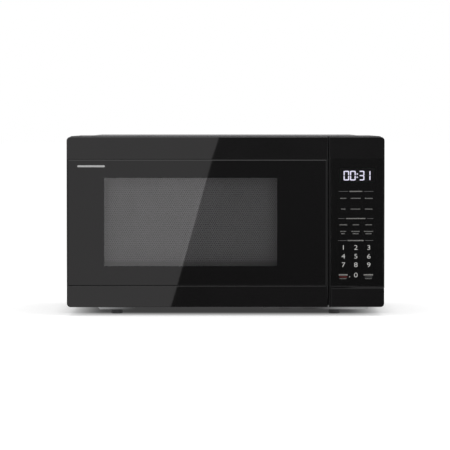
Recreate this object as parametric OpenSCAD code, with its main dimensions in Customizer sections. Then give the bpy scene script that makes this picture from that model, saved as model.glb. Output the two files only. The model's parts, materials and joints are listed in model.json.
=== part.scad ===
// Countertop microwave oven, seen from the front with the door closed.
// +X runs to the viewer's right, +Y to the rear, +Z up. The feet stand on z = 0.

/* [Overall] */
// Width of the door and control panel together
face_w = 485; // [483:0.5:487]
// Height of the front face
face_h = 260; // [259:0.5:261]
// Height of the front face's lower edge above the table
face_lift = 13; // [12.5:0.5:13.5]
// Depth from the door glass to the rear spacer
depth = 386; // [384:1:390]
// Thickness of the folded sheet steel
sheet_t = 0.8; // [0.7:0.1:0.8]

/* [Door] */
// Width of the door
door_w = 398.5; // [398:0.5:399]
// Thickness of the door and of the control panel housing
door_t = 36; // [36:0.5:37]
// Gap between the door and the control panel
front_gap = 2; // [1.5:0.5:2.5]
// Width of the see-through window
window_w = 264; // [250:1:266]
// Height of the see-through window
window_h = 134.7; // [120:0.1:136]
// Sideways place of the window's middle
window_x = -53.3; // [-54:0.1:-52]
// Height of the window's middle
window_z = 143; // [142:0.5:144]

/* [Cavity] */
// Inside width of the cooking cavity
cavity_w = 320; // [318:1:321]
// Inside height of the cooking cavity
cavity_h = 205; // [200:1:206]
// Inside depth of the cooking cavity
cavity_d = 322.5; // [315:0.5:324]

/* [Turntable] */
// Diameter of the glass tray
tray_d = 270; // [245:5:280]
// Radius of the three rollers under the tray
roller_r = 7; // [6.5:0.5:7]
// Distance of the rollers from the turntable's axis
roller_track = 101; // [98:1:104]

/* [Fan] */
// Radius of the fan blades
fan_r = 46; // [40:1:47]
// Number of fan blades
fan_blades = 7; // [5:1:9]

/* [Hidden] */
$fn = 48;

// Front face, door and panel
face_x0 = -face_w / 2;
face_x1 = face_w / 2;
face_z0 = face_lift;
face_z1 = face_lift + face_h;
front_y = -depth / 2;
rear_y = depth / 2;
door_back = front_y + door_t;
door_x1 = face_x0 + door_w;
panel_x0 = door_x1 + front_gap;
corner_r = 6;
wall = 2.5;
glass_z0 = face_z0 + 32.3;
glass_z1 = face_z1 - 34.3;
glass_t = 3.5;
glass_back = front_y + 0.2 + glass_t;
film_back = glass_back + 0.3;
frame_wall_y = front_y + 7;

// Chassis: front plate, case, base pan and rear panel
plate_y = door_back + 1.5;
plate_back = plate_y + sheet_t;
case_x = face_x1 - 2.5;
inner_x = case_x - sheet_t;
case_top = face_z1 + 1;
inner_top = case_top - sheet_t;
case_y0 = door_back + 0.5;
pan_z = face_z0 + 1;
pan_top = pan_z + sheet_t;
back_out = rear_y - 9;
back_in = back_out - sheet_t;
boss_z = 7;
case_r = 4;
case_fit = [0, 0, case_r, case_r];
foot_x = 168;
foot_y = 125;

// Cooking cavity and turntable
cav_x0 = -208;
cav_x1 = cav_x0 + cavity_w;
cav_z0 = 42;
cav_z1 = cav_z0 + cavity_h;
cav_y1 = plate_back + cavity_d;
cav_r = 10;
cav_wall_x = cav_x1 + sheet_t;
turn_x = (cav_x0 + cav_x1) / 2;
turn_y = (plate_back + cav_y1) / 2;
roller_z = cav_z0 + 0.2 + roller_r;
tray_z = roller_z + roller_r + 0.3;
tray_r = tray_d / 2;

// Door inside: screen pan, choke channel and inner cover
pan_x0 = -226;
pan_x1 = 127.5;
pan_z0 = 24;
pan_z1 = 265;
plate_x0 = -209;
plate_x1 = 113;
plate_z0 = 41;
plate_z1 = 248;
choke_front = frame_wall_y + 7;
choke_back = door_back - 3.2;
centre_front = choke_back - sheet_t;

// Door hinge axis, near the door's rear left edge
hinge_in = 9;
hinge_x = face_x0 + hinge_in;
hinge_y = door_back - hinge_in;
hinge_pin_r = 3;
hinge_fit = 0.05;
tongue_z0 = face_z0 + 6;
tongue_t = 2.5;

// Latch hooks, release lever and button
hook_x = 134;
hook_w = 5;
hook_zs = [44.4, 224.4];
hook_tip_y = -129;
hook_barb_y = -141;
ledge_drop = 0.5;
latch_lift = 5;
lever_y = -143;
lever_z = 39;
lever_r = 4;
lever_pin_r = 1;
lever_fit = 0.06;
arm_t = 3.6;
arm_end_r = 2.2;
button_z1 = face_z0 + 28.9;
button_d = 11.5;
button_travel = 5;
stem_x = 175;
stem_z = lever_z - 10;
stem_end = lever_y - arm_end_r - 0.4;

// Electrical parts on the right
mag_y = 20;
mag_z = 200;
mag_x0 = 150.8;
mag_x1 = 206.8;
fan_x = 183;
fan_z = 200;
shroud_y = 150;

// ---- Shared shapes ----

function arc(c, r, a0) = r == 0 ? [c] :
    let (n = r < 3 ? 3 : 8)
    [for (i = [0:n]) c + r * [cos(a0 + 90 * i / n), sin(a0 + 90 * i / n)]];

// Rectangle from lo to hi with corner radii r, from the lower left one anticlockwise
module round_rect(lo, hi, r = [0, 0, 0, 0])
    polygon(concat(
        arc([lo.x + r[0], lo.y + r[0]], r[0], 180),
        arc([hi.x - r[1], lo.y + r[1]], r[1], 270),
        arc([hi.x - r[2], hi.y - r[2]], r[2], 0),
        arc([lo.x + r[3], hi.y - r[3]], r[3], 90)));

function all4(r) = [r, r, r, r];

// Slabs with rounded corners: flat in XZ, XY or YZ, and thick along Y, Z or X
module slab_y(lo, hi, y0, y1, r = all4(0))
    translate([0, y1, 0]) rotate([90, 0, 0]) linear_extrude(y1 - y0) round_rect(lo, hi, r);
module slab_z(lo, hi, z0, z1, r = all4(0))
    translate([0, 0, z0]) linear_extrude(z1 - z0) round_rect(lo, hi, r);
module slab_x(lo, hi, x0, x1, r = all4(0))
    translate([x0, 0, 0]) rotate([90, 0, 90]) linear_extrude(x1 - x0) round_rect(lo, hi, r);

module block(lo, hi) translate(lo) cube(hi - lo);
module rod_x(p, r, h) translate(p) rotate([0, 90, 0]) cylinder(r = r, h = h);
module rod_y(p, r, h) translate(p) rotate([-90, 0, 0]) cylinder(r = r, h = h);
module rod_z(p, r, h) translate(p) cylinder(r = r, h = h);

// Pressed pad: a flat-topped raised shape with slopes of width s on all four sides
module raised_pad(lo, hi, z0, z1, s) {
    intersection() {
        translate([0, hi.y + 1, 0]) rotate([90, 0, 0]) linear_extrude(hi.y - lo.y + 2)
            polygon([[lo.x, z0], [hi.x, z0], [hi.x - s, z1], [lo.x + s, z1]]);
        translate([lo.x - 1, 0, 0]) rotate([90, 0, 90]) linear_extrude(hi.x - lo.x + 2)
            polygon([[lo.y, z0], [hi.y, z0], [hi.y - s, z1], [lo.y + s, z1]]);
    }
}

// Pan-head screw along -Y or +Y, from the surface at p: head outside, shank inside
module screw_y(p, out, head_r = 3.5, shank_r = 1.5, shank = 8) {
    rod_y([p.x, out < 0 ? p.y - 2 : p.y, p.z], head_r, 2);
    rod_y([p.x, out < 0 ? p.y : p.y - shank, p.z], shank_r, shank);
}

// ---- Chassis ----

// Pressed feet of the base pan: [left, right, front, rear] of each one at the pan
boss_boxes = [
    [-199, -137, -148, -96], [53, 222, -148, -96],
    [-199, -137, 96, 150], [137, 222, 96, 150]
];

module boss(b, drop) {
    translate([0, 0, pan_z - drop]) mirror([0, 0, 1])
        raised_pad([b[0] + drop, b[2] + drop], [b[1] - drop, b[3] - drop],
            -2 * drop - 0.01, pan_z - boss_z - 2 * drop, 5);
}

module base_pan() color("silver") {
    flange_z = pan_top + 14;
    vent_pitch = 9;
    difference() {
        union() {
            block([-inner_x, plate_y, pan_z], [inner_x, back_out, pan_top]);
            for (b = boss_boxes) boss(b, 0);
        }
        for (b = boss_boxes) boss(b, sheet_t);
        for (i = [0:11], j = [0, 1])
            slab_z([132 + i * vent_pitch - 26 * j, 12 + 26 * j],
                [136 + i * vent_pitch - 26 * j, 32 + 26 * j],
                pan_z - 1, pan_top + 1, all4(1.9));
        for (i = [0:9])
            slab_z([-150 + i * vent_pitch, 20], [-146 + i * vent_pitch, 44],
                pan_z - 1, pan_top + 1, all4(1.9));
    }
    for (side = [-1, 1])
        block([side > 0 ? inner_x - sheet_t : -inner_x, plate_back, pan_top],
            [side > 0 ? inner_x : sheet_t - inner_x, back_in, flange_z]);
}

module feet() color("dimgray")
    for (x = [-foot_x, foot_x], y = [-foot_y, foot_y]) {
        rod_z([x, y, 1], 9, boss_z - 1);
        rod_z([x, y, 0], 8, 1);
    }

emboss = [[-210, -122], [210, 146]];
emboss_h = 1.4;

module side_vents(side) {
    rows = 4;
    slots = 9;
    for (i = [0:slots - 1], j = [0:rows - 1])
        slab_x([18 + i * 15, 200 + j * 12], [29 + i * 15, 203.5 + j * 12],
            side > 0 ? inner_x - 1 : -case_x - 1, side > 0 ? case_x + 1 : 1 - inner_x,
            all4(1.7));
}

module outer_case() color("black") difference() {
    union() {
        slab_y([-case_x, face_z0 + 2], [case_x, case_top], case_y0, back_out,
            [0, 0, case_r, case_r]);
        raised_pad(emboss[0], emboss[1], case_top - 1, case_top + emboss_h, 9);
    }
    slab_y([-inner_x, 0], [inner_x, inner_top], case_y0 - 1, back_out + 1,
        [0, 0, case_r - sheet_t, case_r - sheet_t]);
    raised_pad(emboss[0], emboss[1], inner_top - 1, inner_top + emboss_h, 9);
    side_vents(1);
    side_vents(-1);
}

module case_screws() color("gray") {
    for (p = [[-200, 263], [0, 263], [200, 263], [-228, 60], [228, 60]])
        screw_y([p.x, back_out, p.y], 1, shank = sheet_t);
}

spacer = [[-150, 78], [40, 222]];

module rear_panel() color("gray") {
    slot_h = 3;
    difference() {
        union() {
            slab_y([-inner_x, pan_top], [inner_x, inner_top], back_in, back_out, case_fit);
            translate([0, back_out, 0]) rotate([-90, 0, 0]) mirror([0, 1, 0])
                raised_pad(spacer[0], spacer[1], -0.01, rear_y - back_out, 8);
        }
        translate([0, back_out - sheet_t, 0]) rotate([-90, 0, 0]) mirror([0, 1, 0])
            raised_pad(spacer[0], spacer[1], -sheet_t - 0.01, rear_y - back_out, 8);
        for (i = [0:11])
            slab_y([138, 156 + i * 7.5], [226, 156 + i * 7.5 + slot_h],
                back_in - 1, back_out + 1, all4(1.45));
        for (i = [0:5])
            slab_y([-225 + i * 11, 90], [-221 + i * 11, 150], back_in - 1, back_out + 1,
                all4(1.9));
        rod_y([212, back_in - 1, 46], 8, 4);
        for (p = [[-200, 263], [0, 263], [200, 263], [-228, 60], [228, 60]])
            rod_y([p.x, back_in - 1, p.y], 1.5, 4);
    }
}

module cord_gland() color("black") difference() {
    union() {
        rod_y([212, back_out, 46], 11, 4);
        rod_y([212, back_in - 5, 46], 7.9, 5 + sheet_t);
        rod_y([212, back_in - 5, 46], 10, 4.9);
    }
    rod_y([212, back_in - 9, 46], 3.8, 20);
}

module front_plate() color("dimgray") difference() {
    slab_y([-inner_x, pan_top], [inner_x, inner_top], plate_y, plate_back, case_fit);
    slab_y([cav_x0, cav_z0], [cav_x1, cav_z1], plate_y - 1, plate_back + 1, all4(cav_r));
    for (z = hook_zs)
        block([hook_x - 3.3, plate_y - 1, z - ledge_drop], [hook_x + 5, plate_back + 1, z + 16]);
    block([stem_x - 6, plate_y - 1, stem_z - 6], [stem_x + 6, plate_back + 1, stem_z + 6]);
    for (z = [tongue_z0, face_z0 + face_z1 - tongue_z0 - tongue_t])
        block([-inner_x - 1, plate_y - 1, z - 0.4],
            [hinge_x + 7, plate_back + 1, z + tongue_t + 0.4]);
    slab_y([200, 100], [228, 180], plate_y - 1, plate_back + 1, all4(4));
}

// ---- Cooking cavity ----

module cavity_box() color("gainsboro") difference() {
    slab_y([cav_x0 - sheet_t, cav_z0 - sheet_t], [cav_x1 + sheet_t, cav_z1 + sheet_t],
        plate_back, cav_y1 + sheet_t, all4(cav_r + sheet_t));
    slab_y([cav_x0, cav_z0], [cav_x1, cav_z1], plate_back - 1, cav_y1, all4(cav_r));
    rod_z([turn_x, turn_y, cav_z0 - 2], 7, 4);
    slab_x([-8, 152], [58, 188], cav_x1 - 1, cav_x1 + 2, all4(3));
    for (i = [0:3], j = [0:3])
        rod_x([cav_x1 - 1, 98 + i * 5, 208 + j * 5], 1.5, 3);
    for (i = [0:9], j = [0:3])
        rod_x([cav_x0 - 2, 60 + i * 6, 190 + j * 6], 1.6, 3);
}

module waveguide() color("silver") difference() {
    block([cav_wall_x, -25, 140], [mag_x0, 65, 236]);
    block([cav_wall_x - 1, -24, 141], [mag_x0 - 1, 64, 235]);
    rod_x([mag_x0 - 3, mag_y, mag_z], 14, 6);
}

module waveguide_cover() color("tan")
    slab_x([-16, 146], [66, 194], cav_x1 - 0.4, cav_x1, all4(4));

module thermal_cutouts() color("ivory") {
    rod_z([60, 60, cav_z1 + sheet_t], 8, 7);
    block([48, 58, cav_z1 + sheet_t], [72, 62, cav_z1 + sheet_t + 1]);
    rod_z([-60, turn_y + 90, cav_z1 + sheet_t], 8, 7);
    block([-72, turn_y + 88, cav_z1 + sheet_t], [-48, turn_y + 92, cav_z1 + sheet_t + 1]);
}

lamp_x = 126;
lamp_y = 105;

module lamp_holder() color("white") {
    block([cav_wall_x, 92, 229], [cav_wall_x + 1.5, 118, 245]);
    slab_z([cav_wall_x + 1.5, 95], [138, 115], 229, 243, [2, 2, 2, 2]);
}

module cavity_lamp() color("lightyellow") {
    translate([lamp_x, lamp_y, 0]) rotate_extrude()
        polygon(concat([[0, 229], [5, 229], [5, 224]],
            [for (a = [20:10:90]) [9 * cos(a), 218 - 9 * sin(a)]], [[0, 209]]));
}

module turntable_motor() color("silver") difference() {
    union() {
        rod_z([turn_x, turn_y, 23], 24.5, 16);
        slab_z([turn_x - 34, turn_y - 7], [turn_x + 34, turn_y + 7], 39,
            cav_z0 - sheet_t, all4(6));
    }
    rod_z([turn_x, turn_y, 28], 3.55, 20);
}

module turntable_coupler() color("ivory") {
    rod_z([turn_x, turn_y, 28.3], 3.5, 15);
    rod_z([turn_x, turn_y, cav_z0 + 1], 9, 5);
    for (a = [0:120:240])
        translate([turn_x, turn_y, cav_z0 + 1]) rotate([0, 0, a])
            slab_z([0, -4], [17, 4], 0, 9, [0, 3.9, 3.9, 0]);
}

module glass_tray() color("lightblue") {
    r = tray_r;
    translate([turn_x, turn_y, tray_z]) rotate_extrude()
        polygon([[0, 0], [r - 18, 0], [r - 15, 1], [r - 1.5, 9.5], [r, 12], [r - 1, 13.5],
            [r - 3, 13.5], [r - 5, 12], [r - 16.5, 5], [r - 19, 4], [0, 4]]);
    for (a = [60:120:300])
        translate([turn_x, turn_y, 0]) rotate([0, 0, a])
            slab_z([10.5, -4], [19, 4], tray_z - 4.5, tray_z + 1, all4(2));
}

module roller_ring() color("whitesmoke") {
    axle_r = 2;
    translate([turn_x, turn_y, roller_z]) {
        rotate_extrude() polygon([[86, -2.5], [95, -2.5], [95, 2.5], [86, 2.5]]);
        for (a = [0:120:240]) rotate([0, 0, a]) {
            rod_x([94, 0, 0], axle_r, roller_track + 5.5 - 94);
            rod_x([roller_track + 4.4, 0, 0], 3.4, 1.6);
        }
    }
}

module roller(a) color("white")
    translate([turn_x, turn_y, roller_z]) rotate([0, 0, a]) difference() {
        union() {
            rod_x([roller_track - 4, 0, 0], roller_r - 1, 8);
            rod_x([roller_track - 3, 0, 0], roller_r, 6);
        }
        rod_x([roller_track - 5, 0, 0], 2.06, 12);
    }

// ---- High-voltage parts ----

module magnetron_yoke() color("silver") {
    t = 1.5;
    difference() {
        block([mag_x0, mag_y - 47, mag_z - 40], [mag_x1, mag_y + 47, mag_z + 40]);
        block([mag_x0 + t, mag_y - 48, mag_z - 40 + t], [mag_x1 - t, mag_y + 48, mag_z + 40 - t]);
        rod_x([mag_x0 - 1, mag_y, mag_z], 12, 4);
        rod_x([mag_x1 - 3, mag_y, mag_z], 12, 4);
    }
    difference() {
        block([mag_x1, mag_y - 20, mag_z - 30], [mag_x1 + 27, mag_y + 20, mag_z + 30]);
        block([mag_x1 - 1, mag_y - 19, mag_z - 29], [mag_x1 + 26, mag_y + 19, mag_z + 29]);
    }
}

fin_x0 = mag_x0 + 17;
fin_pitch = 2.8;
fin_count = 8;

module magnetron_core() color("lightgray") {
    rod_x([mag_x0 + 15.5, mag_y, mag_z], 19, 25);
    for (i = [0:fin_count - 1])
        block([fin_x0 + i * fin_pitch, mag_y - 44, mag_z - 38],
            [fin_x0 + i * fin_pitch + 0.8, mag_y + 44, mag_z + 38]);
}

module magnetron_magnets() color("dimgray")
    for (x = [mag_x0 + 1.5, mag_x1 - 14.5]) difference() {
        rod_x([x, mag_y, mag_z], 27, 13);
        rod_x([x - 1, mag_y, mag_z], 11, 15);
    }

module magnetron_antenna() color("khaki") {
    rod_x([mag_x0 - 20, mag_y, mag_z], 7, 8);
    rod_x([mag_x0 - 12, mag_y, mag_z], 9, 27.5);
}

tr_x = 177;
tr_y = -48;
tr_z = 58;

module transformer_core() color("slategray") {
    difference() {
        block([tr_x - 47, tr_y - 30, tr_z - 40], [tr_x + 47, tr_y + 30, tr_z + 40]);
        for (side = [-1, 1])
            block([tr_x + side * 24 - 8, tr_y - 31, tr_z - 25],
                [tr_x + side * 24 + 8, tr_y + 31, tr_z + 25]);
    }
    difference() {
        block([tr_x - 55, tr_y - 36, pan_top], [tr_x + 55, tr_y + 36, tr_z - 40]);
        for (x = [-51, 51], y = [-31, 31])
            rod_z([tr_x + x, tr_y + y, pan_top - 1], 2.5, 8);
    }
}

module transformer_coils() color("chocolate")
    for (z = [-24.5, 3.5]) difference() {
        slab_z([tr_x - 31, tr_y - 46], [tr_x + 31, tr_y + 46], tr_z + z, tr_z + z + 21, all4(12));
        block([tr_x - 16, tr_y - 30, tr_z + z - 1], [tr_x + 16, tr_y + 30, tr_z + z + 22]);
        for (side = [-1, 1])
            block([tr_x + side * 40 - 8, tr_y - 30, tr_z + z - 1],
                [tr_x + side * 40 + 8, tr_y + 30, tr_z + z + 22]);
    }

cap_lo = [122, 18.5];
cap_hi = [172, 51];

module hv_capacitor() color("silver") {
    slab_y(cap_lo, cap_hi, 62, 150, all4(16));
    for (x = [138, 156], z = [31, 38])
        block([x - 3, 53, z - 0.4], [x + 3, 62, z + 0.4]);
}

module capacitor_clamp() color("lightgray") {
    difference() {
        union() {
            slab_y(cap_lo - [1.2, 1.2], cap_hi + [1.2, 1.2], 100, 112, all4(17.2));
            block([cap_lo.x + 6, 100, pan_top], [cap_hi.x + 14, 112, cap_lo.y + 0.2]);
        }
        slab_y(cap_lo, cap_hi, 99, 113, all4(16));
        rod_z([cap_hi.x + 8, 106, pan_top - 1], 2, 8);
    }
}

module hv_diode() color("black") {
    rod_y([104, 62, 24], 4, 22);
    rod_y([104, 50, 24], 0.6, 12);
    block([100, 84, pan_top], [108, 94, pan_top + 1]);
    rod_y([104, 84, 24], 0.6, 6);
    block([103, 89, pan_top + 1], [105, 90, 24.6]);
}

module noise_filter() color("seagreen") {
    slab_z([182, 88], [234, 165], 22, 23.6, all4(2));
    for (x = [187, 229], y = [93, 160]) rod_z([x, y, pan_top], 3, 22 - pan_top);
    block([188, 100, 23.6], [202, 126, 40]);
    difference() {
        rod_z([218, 112, 23.6], 13, 14);
        rod_z([218, 112, 23], 5, 16);
    }
    rod_y([194, 134, 28], 3, 24);
    for (y = [134, 152]) block([191, y, 23.6], [197, y + 5, 28]);
    block([208, 132, 23.6], [230, 142, 36]);
}

// ---- Fan ----

module fan_shroud() color("dimgray") {
    difference() {
        block([124, shroud_y, 142], [238, shroud_y + 3, 262]);
        rod_y([fan_x, shroud_y - 1, fan_z], fan_r + 3, 5);
    }
    difference() {
        rod_y([fan_x, shroud_y + 3, fan_z], fan_r + 5, back_in - shroud_y - 3);
        rod_y([fan_x, shroud_y + 2, fan_z], fan_r + 3, back_in - shroud_y);
    }
    for (z = [-13, 13])
        block([fan_x - fan_r - 3.5, shroud_y, fan_z + z - 2],
            [fan_x + fan_r + 3.5, shroud_y + 2, fan_z + z + 2]);
}

module fan_motor() color("slategray") difference() {
    union() {
        block([fan_x - 25, 128, fan_z - 22], [fan_x + 25, 142, fan_z + 22]);
        rod_y([fan_x, 122, fan_z], 11, 26);
        slab_y([fan_x - 21, fan_z - 46], [fan_x + 21, fan_z - 22], 122, 148, all4(5));
        for (x = [-19, 19], z = [-13, 13])
            rod_y([fan_x + x, 142, fan_z + z], 2.5, shroud_y - 142);
    }
    rod_y([fan_x, 121, fan_z], 2.05, 40);
}

module fan_blade() color("gray") {
    hub_y = shroud_y + 6;
    difference() {
        union() {
            rod_y([fan_x, hub_y, fan_z], 11, 18);
            intersection() {
                for (i = [0:fan_blades - 1])
                    translate([fan_x, hub_y + 9, fan_z]) rotate([0, i * 360 / fan_blades, 0])
                        rotate([0, 0, 32]) translate([-11, -0.7, 9]) cube([22, 1.4, fan_r]);
                rod_y([fan_x, hub_y, fan_z], fan_r, 18);
            }
        }
        rod_y([fan_x, hub_y + 14, fan_z], 4, 6);
    }
    rod_y([fan_x, 118, fan_z], 2, hub_y - 117);
}

module air_duct() color("darkgray") difference() {
    block([mag_x0 + 1, mag_y + 48.5, 148], [238, shroud_y, 252]);
    block([mag_x0 + 2.5, mag_y + 47, 149.5], [236.5, shroud_y + 1, 250.5]);
}

// ---- Door latch and interlock ----

module latch_board() color("ivory") {
    x0 = 126.3;
    x1 = x0 + wall;
    arm_x = 184;
    difference() {
        union() {
            block([x0, plate_back, 22], [x1, -108, 246]);
            block([x0, plate_back, 22], [arm_x + wall, -136, 24]);
            block([arm_x, plate_back, 24], [arm_x + wall, -136, 46]);
            for (z = hook_zs)
                block([x1, plate_back, z - 8], [142, -147.5, z - ledge_drop]);
        }
        rod_x([x0 - 1, lever_y, lever_z], lever_pin_r + 0.03, arm_x);
        for (z = [90, 190]) rod_x([x0 - 1, -125, z], 2, 5);
    }
}

switch_y = hook_tip_y + 2;

module interlock_switches() color("black")
    for (z = [hook_zs[0] - 9, hook_zs[0] + 12.5, hook_zs[1] - 9]) {
        difference() {
            block([128.8, switch_y, z], [139.2, switch_y + 16, z + 20]);
            rod_y([hook_x, switch_y - 1, z + 10.1], 1.25, 8);
        }
        for (i = [4, 10, 16])
            block([132, switch_y + 16, z + i - 0.4], [136, switch_y + 22, z + i + 0.4]);
    }

module switch_plungers() color("firebrick")
    for (z = hook_zs) rod_y([hook_x, hook_tip_y + 0.4, z + 1.1], 0.9, 6);

module release_lever() color("white") {
    rear_arm = [10, 2.8];
    difference() {
        union() {
            rod_x([129.3, lever_y, lever_z], lever_r, 54.2);
            translate([hook_x - hook_w / 2, lever_y, lever_z])
                rotate([atan2(rear_arm.y, rear_arm.x), 0, 0])
                    block([0, 0, -arm_t / 2], [hook_w, norm(rear_arm), arm_t / 2]);
            rod_x([hook_x - hook_w / 2, lever_y + rear_arm.x, lever_z + rear_arm.y],
                arm_end_r, hook_w);
            block([stem_x - 4, lever_y - arm_t / 2, stem_z], [stem_x + 4, lever_y + arm_t / 2, lever_z]);
            rod_x([stem_x - 4, lever_y, stem_z], arm_end_r, 8);
        }
        rod_x([120, lever_y, lever_z], lever_pin_r + lever_fit, 80);
    }
}

module lever_pin() color("silver") rod_x([124, lever_y, lever_z], lever_pin_r, 65);

// ---- Control panel ----

pocket_y = front_y + button_d + button_travel + 0.5;

module panel_housing() color("black") difference() {
    slab_y([panel_x0, face_z0], [face_x1, face_z1], front_y, case_y0, [1, corner_r, corner_r, 1]);
    block([panel_x0 + 2.3, front_y - 1, glass_z0], [face_x1 - 1.8, front_y + 3, glass_z1 + 1.3]);
    slab_y([panel_x0 + wall, face_z0 + wall], [face_x1 - wall, face_z1 - wall],
        frame_wall_y, plate_y + 1, [0, 3.5, 3.5, 0]);
    block([176 - 2, front_y - 1, 203], [226 + 2, frame_wall_y + 1, 226]);
    block([panel_x0 + wall, front_y - 1, face_z0 - 1], [face_x1 + 1, pocket_y, button_z1 + 0.4]);
}

// Wall behind the button, joined to the housing's sides
module button_wall() difference() {
    block([panel_x0 + wall, pocket_y, face_z0 + wall],
        [face_x1 - wall, pocket_y + 2, button_z1 + 6]);
    block([stem_x - 4, pocket_y - 1, stem_z - 4], [stem_x + 4, pocket_y + 3, stem_z + 4]);
}

module board_posts() for (p = board_screws) difference() {
    rod_y([p.x, frame_wall_y, p.y], 3.5, board_y - frame_wall_y);
    rod_y([p.x, frame_wall_y + 1, p.y], 1.2, board_y - frame_wall_y);
}

module panel_body() {
    panel_housing();
    color("black") board_posts();
    color("black") button_wall();
    color("black") block([panel_x0 + wall, frame_wall_y, button_z1 + 0.4],
        [face_x1 - wall, pocket_y + 2, button_z1 + 2.4]);
}

module panel_overlay() color("black")
    slab_y([panel_x0 + 2.5, glass_z0 + 0.2], [face_x1 - 2, glass_z1 + 1.1],
        front_y + 0.2, front_y + 2.9, all4(0.8));

module display_module() color("dimgray") {
    slab_y([175, 204], [227, 225], front_y + 3.1, front_y + 10, all4(0.5));
    block([178, front_y + 10, 210], [224, front_y + 17.4, 211]);
}

board_y = front_y + 17.4;
board_screws = [[172, 62], [230, 62], [172, 243], [230, 243]];

module control_board() color("darkgreen") {
    difference() {
        slab_y([166, 56], [236, 250], board_y, board_y + 1.6, all4(1));
        for (p = board_screws) rod_y([p.x, board_y - 1, p.y], 1.3, 4);
    }
    block([172, board_y + 1.6, 176], [204, board_y + 15, 206]);
    for (z = [120, 146]) block([210, board_y + 1.6, z], [228, board_y + 16, z + 20]);
    rod_y([182, board_y + 1.6, 132], 5, 14);
    rod_y([182, board_y + 1.6, 112], 7, 7);
    block([176, board_y + 1.6, 66], [224, board_y + 8, 74]);
}

module panel_screws() color("silver")
    for (p = board_screws) screw_y([p.x, board_y + 1.6, p.y], 1, 3, 1.2, 7);

module release_button() color("black") {
    x0 = panel_x0 + wall + 0.5;
    x1 = face_x1 - 0.3;
    difference() {
        slab_y([x0, face_z0 + 0.3], [x1, button_z1], front_y, front_y + button_d,
            [1, corner_r - 0.5, 0.5, 0.5]);
        slab_y([x0 + 2, face_z0 + 2.3], [x1 - 2, button_z1 - 2], front_y + 2,
            front_y + button_d + 1, [0, corner_r - 2.5, 0, 0]);
    }
    block([stem_x - 3, front_y + 1.9, stem_z - 3], [stem_x + 3, stem_end, stem_z + 1.5]);
}

// Round wire wound into an open coil along +Z, as a swept tube
function helix_ring(a, r, wire, rise, sides) =
    let (c = [r * cos(a), r * sin(a), rise * a / 360])
    [for (k = [0:sides - 1]) let (b = 360 * k / sides)
        c + wire * (cos(b) * [cos(a), sin(a), 0] + sin(b) * [0, 0, 1])];

module coil_spring(r, wire, rise, turns, steps = 14, sides = 6) {
    n = turns * steps;
    points = [for (i = [0:n]) each helix_ring(i * 360 / steps, r, wire, rise, sides)];
    walls = [for (i = [0:n - 1], k = [0:sides - 1]) let (j = (k + 1) % sides)
        [i * sides + k, (i + 1) * sides + k, (i + 1) * sides + j, i * sides + j]];
    polyhedron(points, concat(walls, [[for (k = [0:sides - 1]) k]],
        [[for (k = [sides - 1:-1:0]) n * sides + k]]), convexity = 10);
}

module button_spring() color("silver")
    translate([stem_x, front_y + 2.7, stem_z]) rotate([-90, 0, 0])
        coil_spring(6.2, 0.5, 2.4, 5);

// ---- Door ----

// Plan of the door's full thickness, round about the hinge axis at its rear left edge
module door_plan() {
    round_rect([hinge_x, front_y], [door_x1, door_back]);
    round_rect([face_x0, front_y], [hinge_x + 1, hinge_y]);
    translate([hinge_x, hinge_y]) circle(r = hinge_in);
}

module hinge_room(z0) {
    block([face_x0 - 1, hinge_y - 10, z0], [hinge_x + 7.3, door_back + 1, z0 + tongue_t + 1]);
}

module door_frame() color("black") {
    post_x = pan_x0 - 0.3;
    post_y = hinge_y - 10;
    upper_tongue = face_z0 + face_z1 - tongue_z0 - tongue_t;
    difference() {
        intersection() {
            translate([0, 0, face_z0]) linear_extrude(face_h) door_plan();
            slab_y([face_x0, face_z0], [door_x1, face_z1], front_y - 1, door_back + 1,
                [corner_r, 1, 1, corner_r]);
        }
        block([face_x0 + 1.8, front_y - 1, glass_z0], [door_x1 - 1.5, film_back, glass_z1]);
        block([face_x0 + wall, frame_wall_y, face_z0 + wall],
            [door_x1 - wall, post_y, face_z1 - wall]);
        block([post_x, frame_wall_y, face_z0 + wall], [door_x1 - wall, door_back + 1, face_z1 - wall]);
        slab_y([window_x - window_w / 2 - 5, window_z - window_h / 2 - 5],
            [window_x + window_w / 2 + 5, window_z + window_h / 2 + 5],
            front_y, frame_wall_y + 1, all4(3));
        hinge_room(tongue_z0 - 0.5);
        hinge_room(upper_tongue - 0.5);
        rod_z([hinge_x, hinge_y, tongue_z0 + tongue_t], hinge_pin_r + hinge_fit, 13.5);
        rod_z([hinge_x, hinge_y, upper_tongue - 13.5], hinge_pin_r + hinge_fit, 13.5);
    }
    for (p = screw_spots) difference() {
        rod_y([p.x, frame_wall_y, p.y], 4, choke_front - frame_wall_y);
        rod_y([p.x, frame_wall_y, p.y], 1.55, choke_front - frame_wall_y);
    }
}

screw_spots = [[-217.5, 80], [-217.5, 206], [120.3, 80], [120.3, 206], [-48, 256.5], [-48, 32.5]];

module door_screws() color("silver")
    for (p = screw_spots) {
        rod_y([p.x, choke_front + sheet_t, p.y], 3, 2);
        rod_y([p.x, choke_front - 6, p.y], 1.5, 6 + sheet_t);
    }

module door_glass() color("black")
    hull() {
        block([face_x0 + 2.8, front_y + 0.2, glass_z0 + 1.2],
            [door_x1 - 2.5, glass_back, glass_z1 - 1.2]);
        block([face_x0 + 2, front_y + 1, glass_z0 + 0.4], [door_x1 - 1.7, glass_back, glass_z1 - 0.4]);
    }

module door_film() color("black") difference() {
    block([face_x0 + 2.2, glass_back, glass_z0 + 0.6], [door_x1 - 1.9, film_back, glass_z1 - 0.6]);
    slab_y([window_x - window_w / 2, window_z - window_h / 2],
        [window_x + window_w / 2, window_z + window_h / 2], front_y, film_back + 1, all4(1.5));
}

screen_m = 12;

module door_screen() color("gray")
    slab_y([window_x - window_w / 2 - screen_m, window_z - window_h / 2 - screen_m],
        [window_x + window_w / 2 + screen_m, window_z + window_h / 2 + screen_m],
        centre_front - 0.6, centre_front, all4(3));

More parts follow.
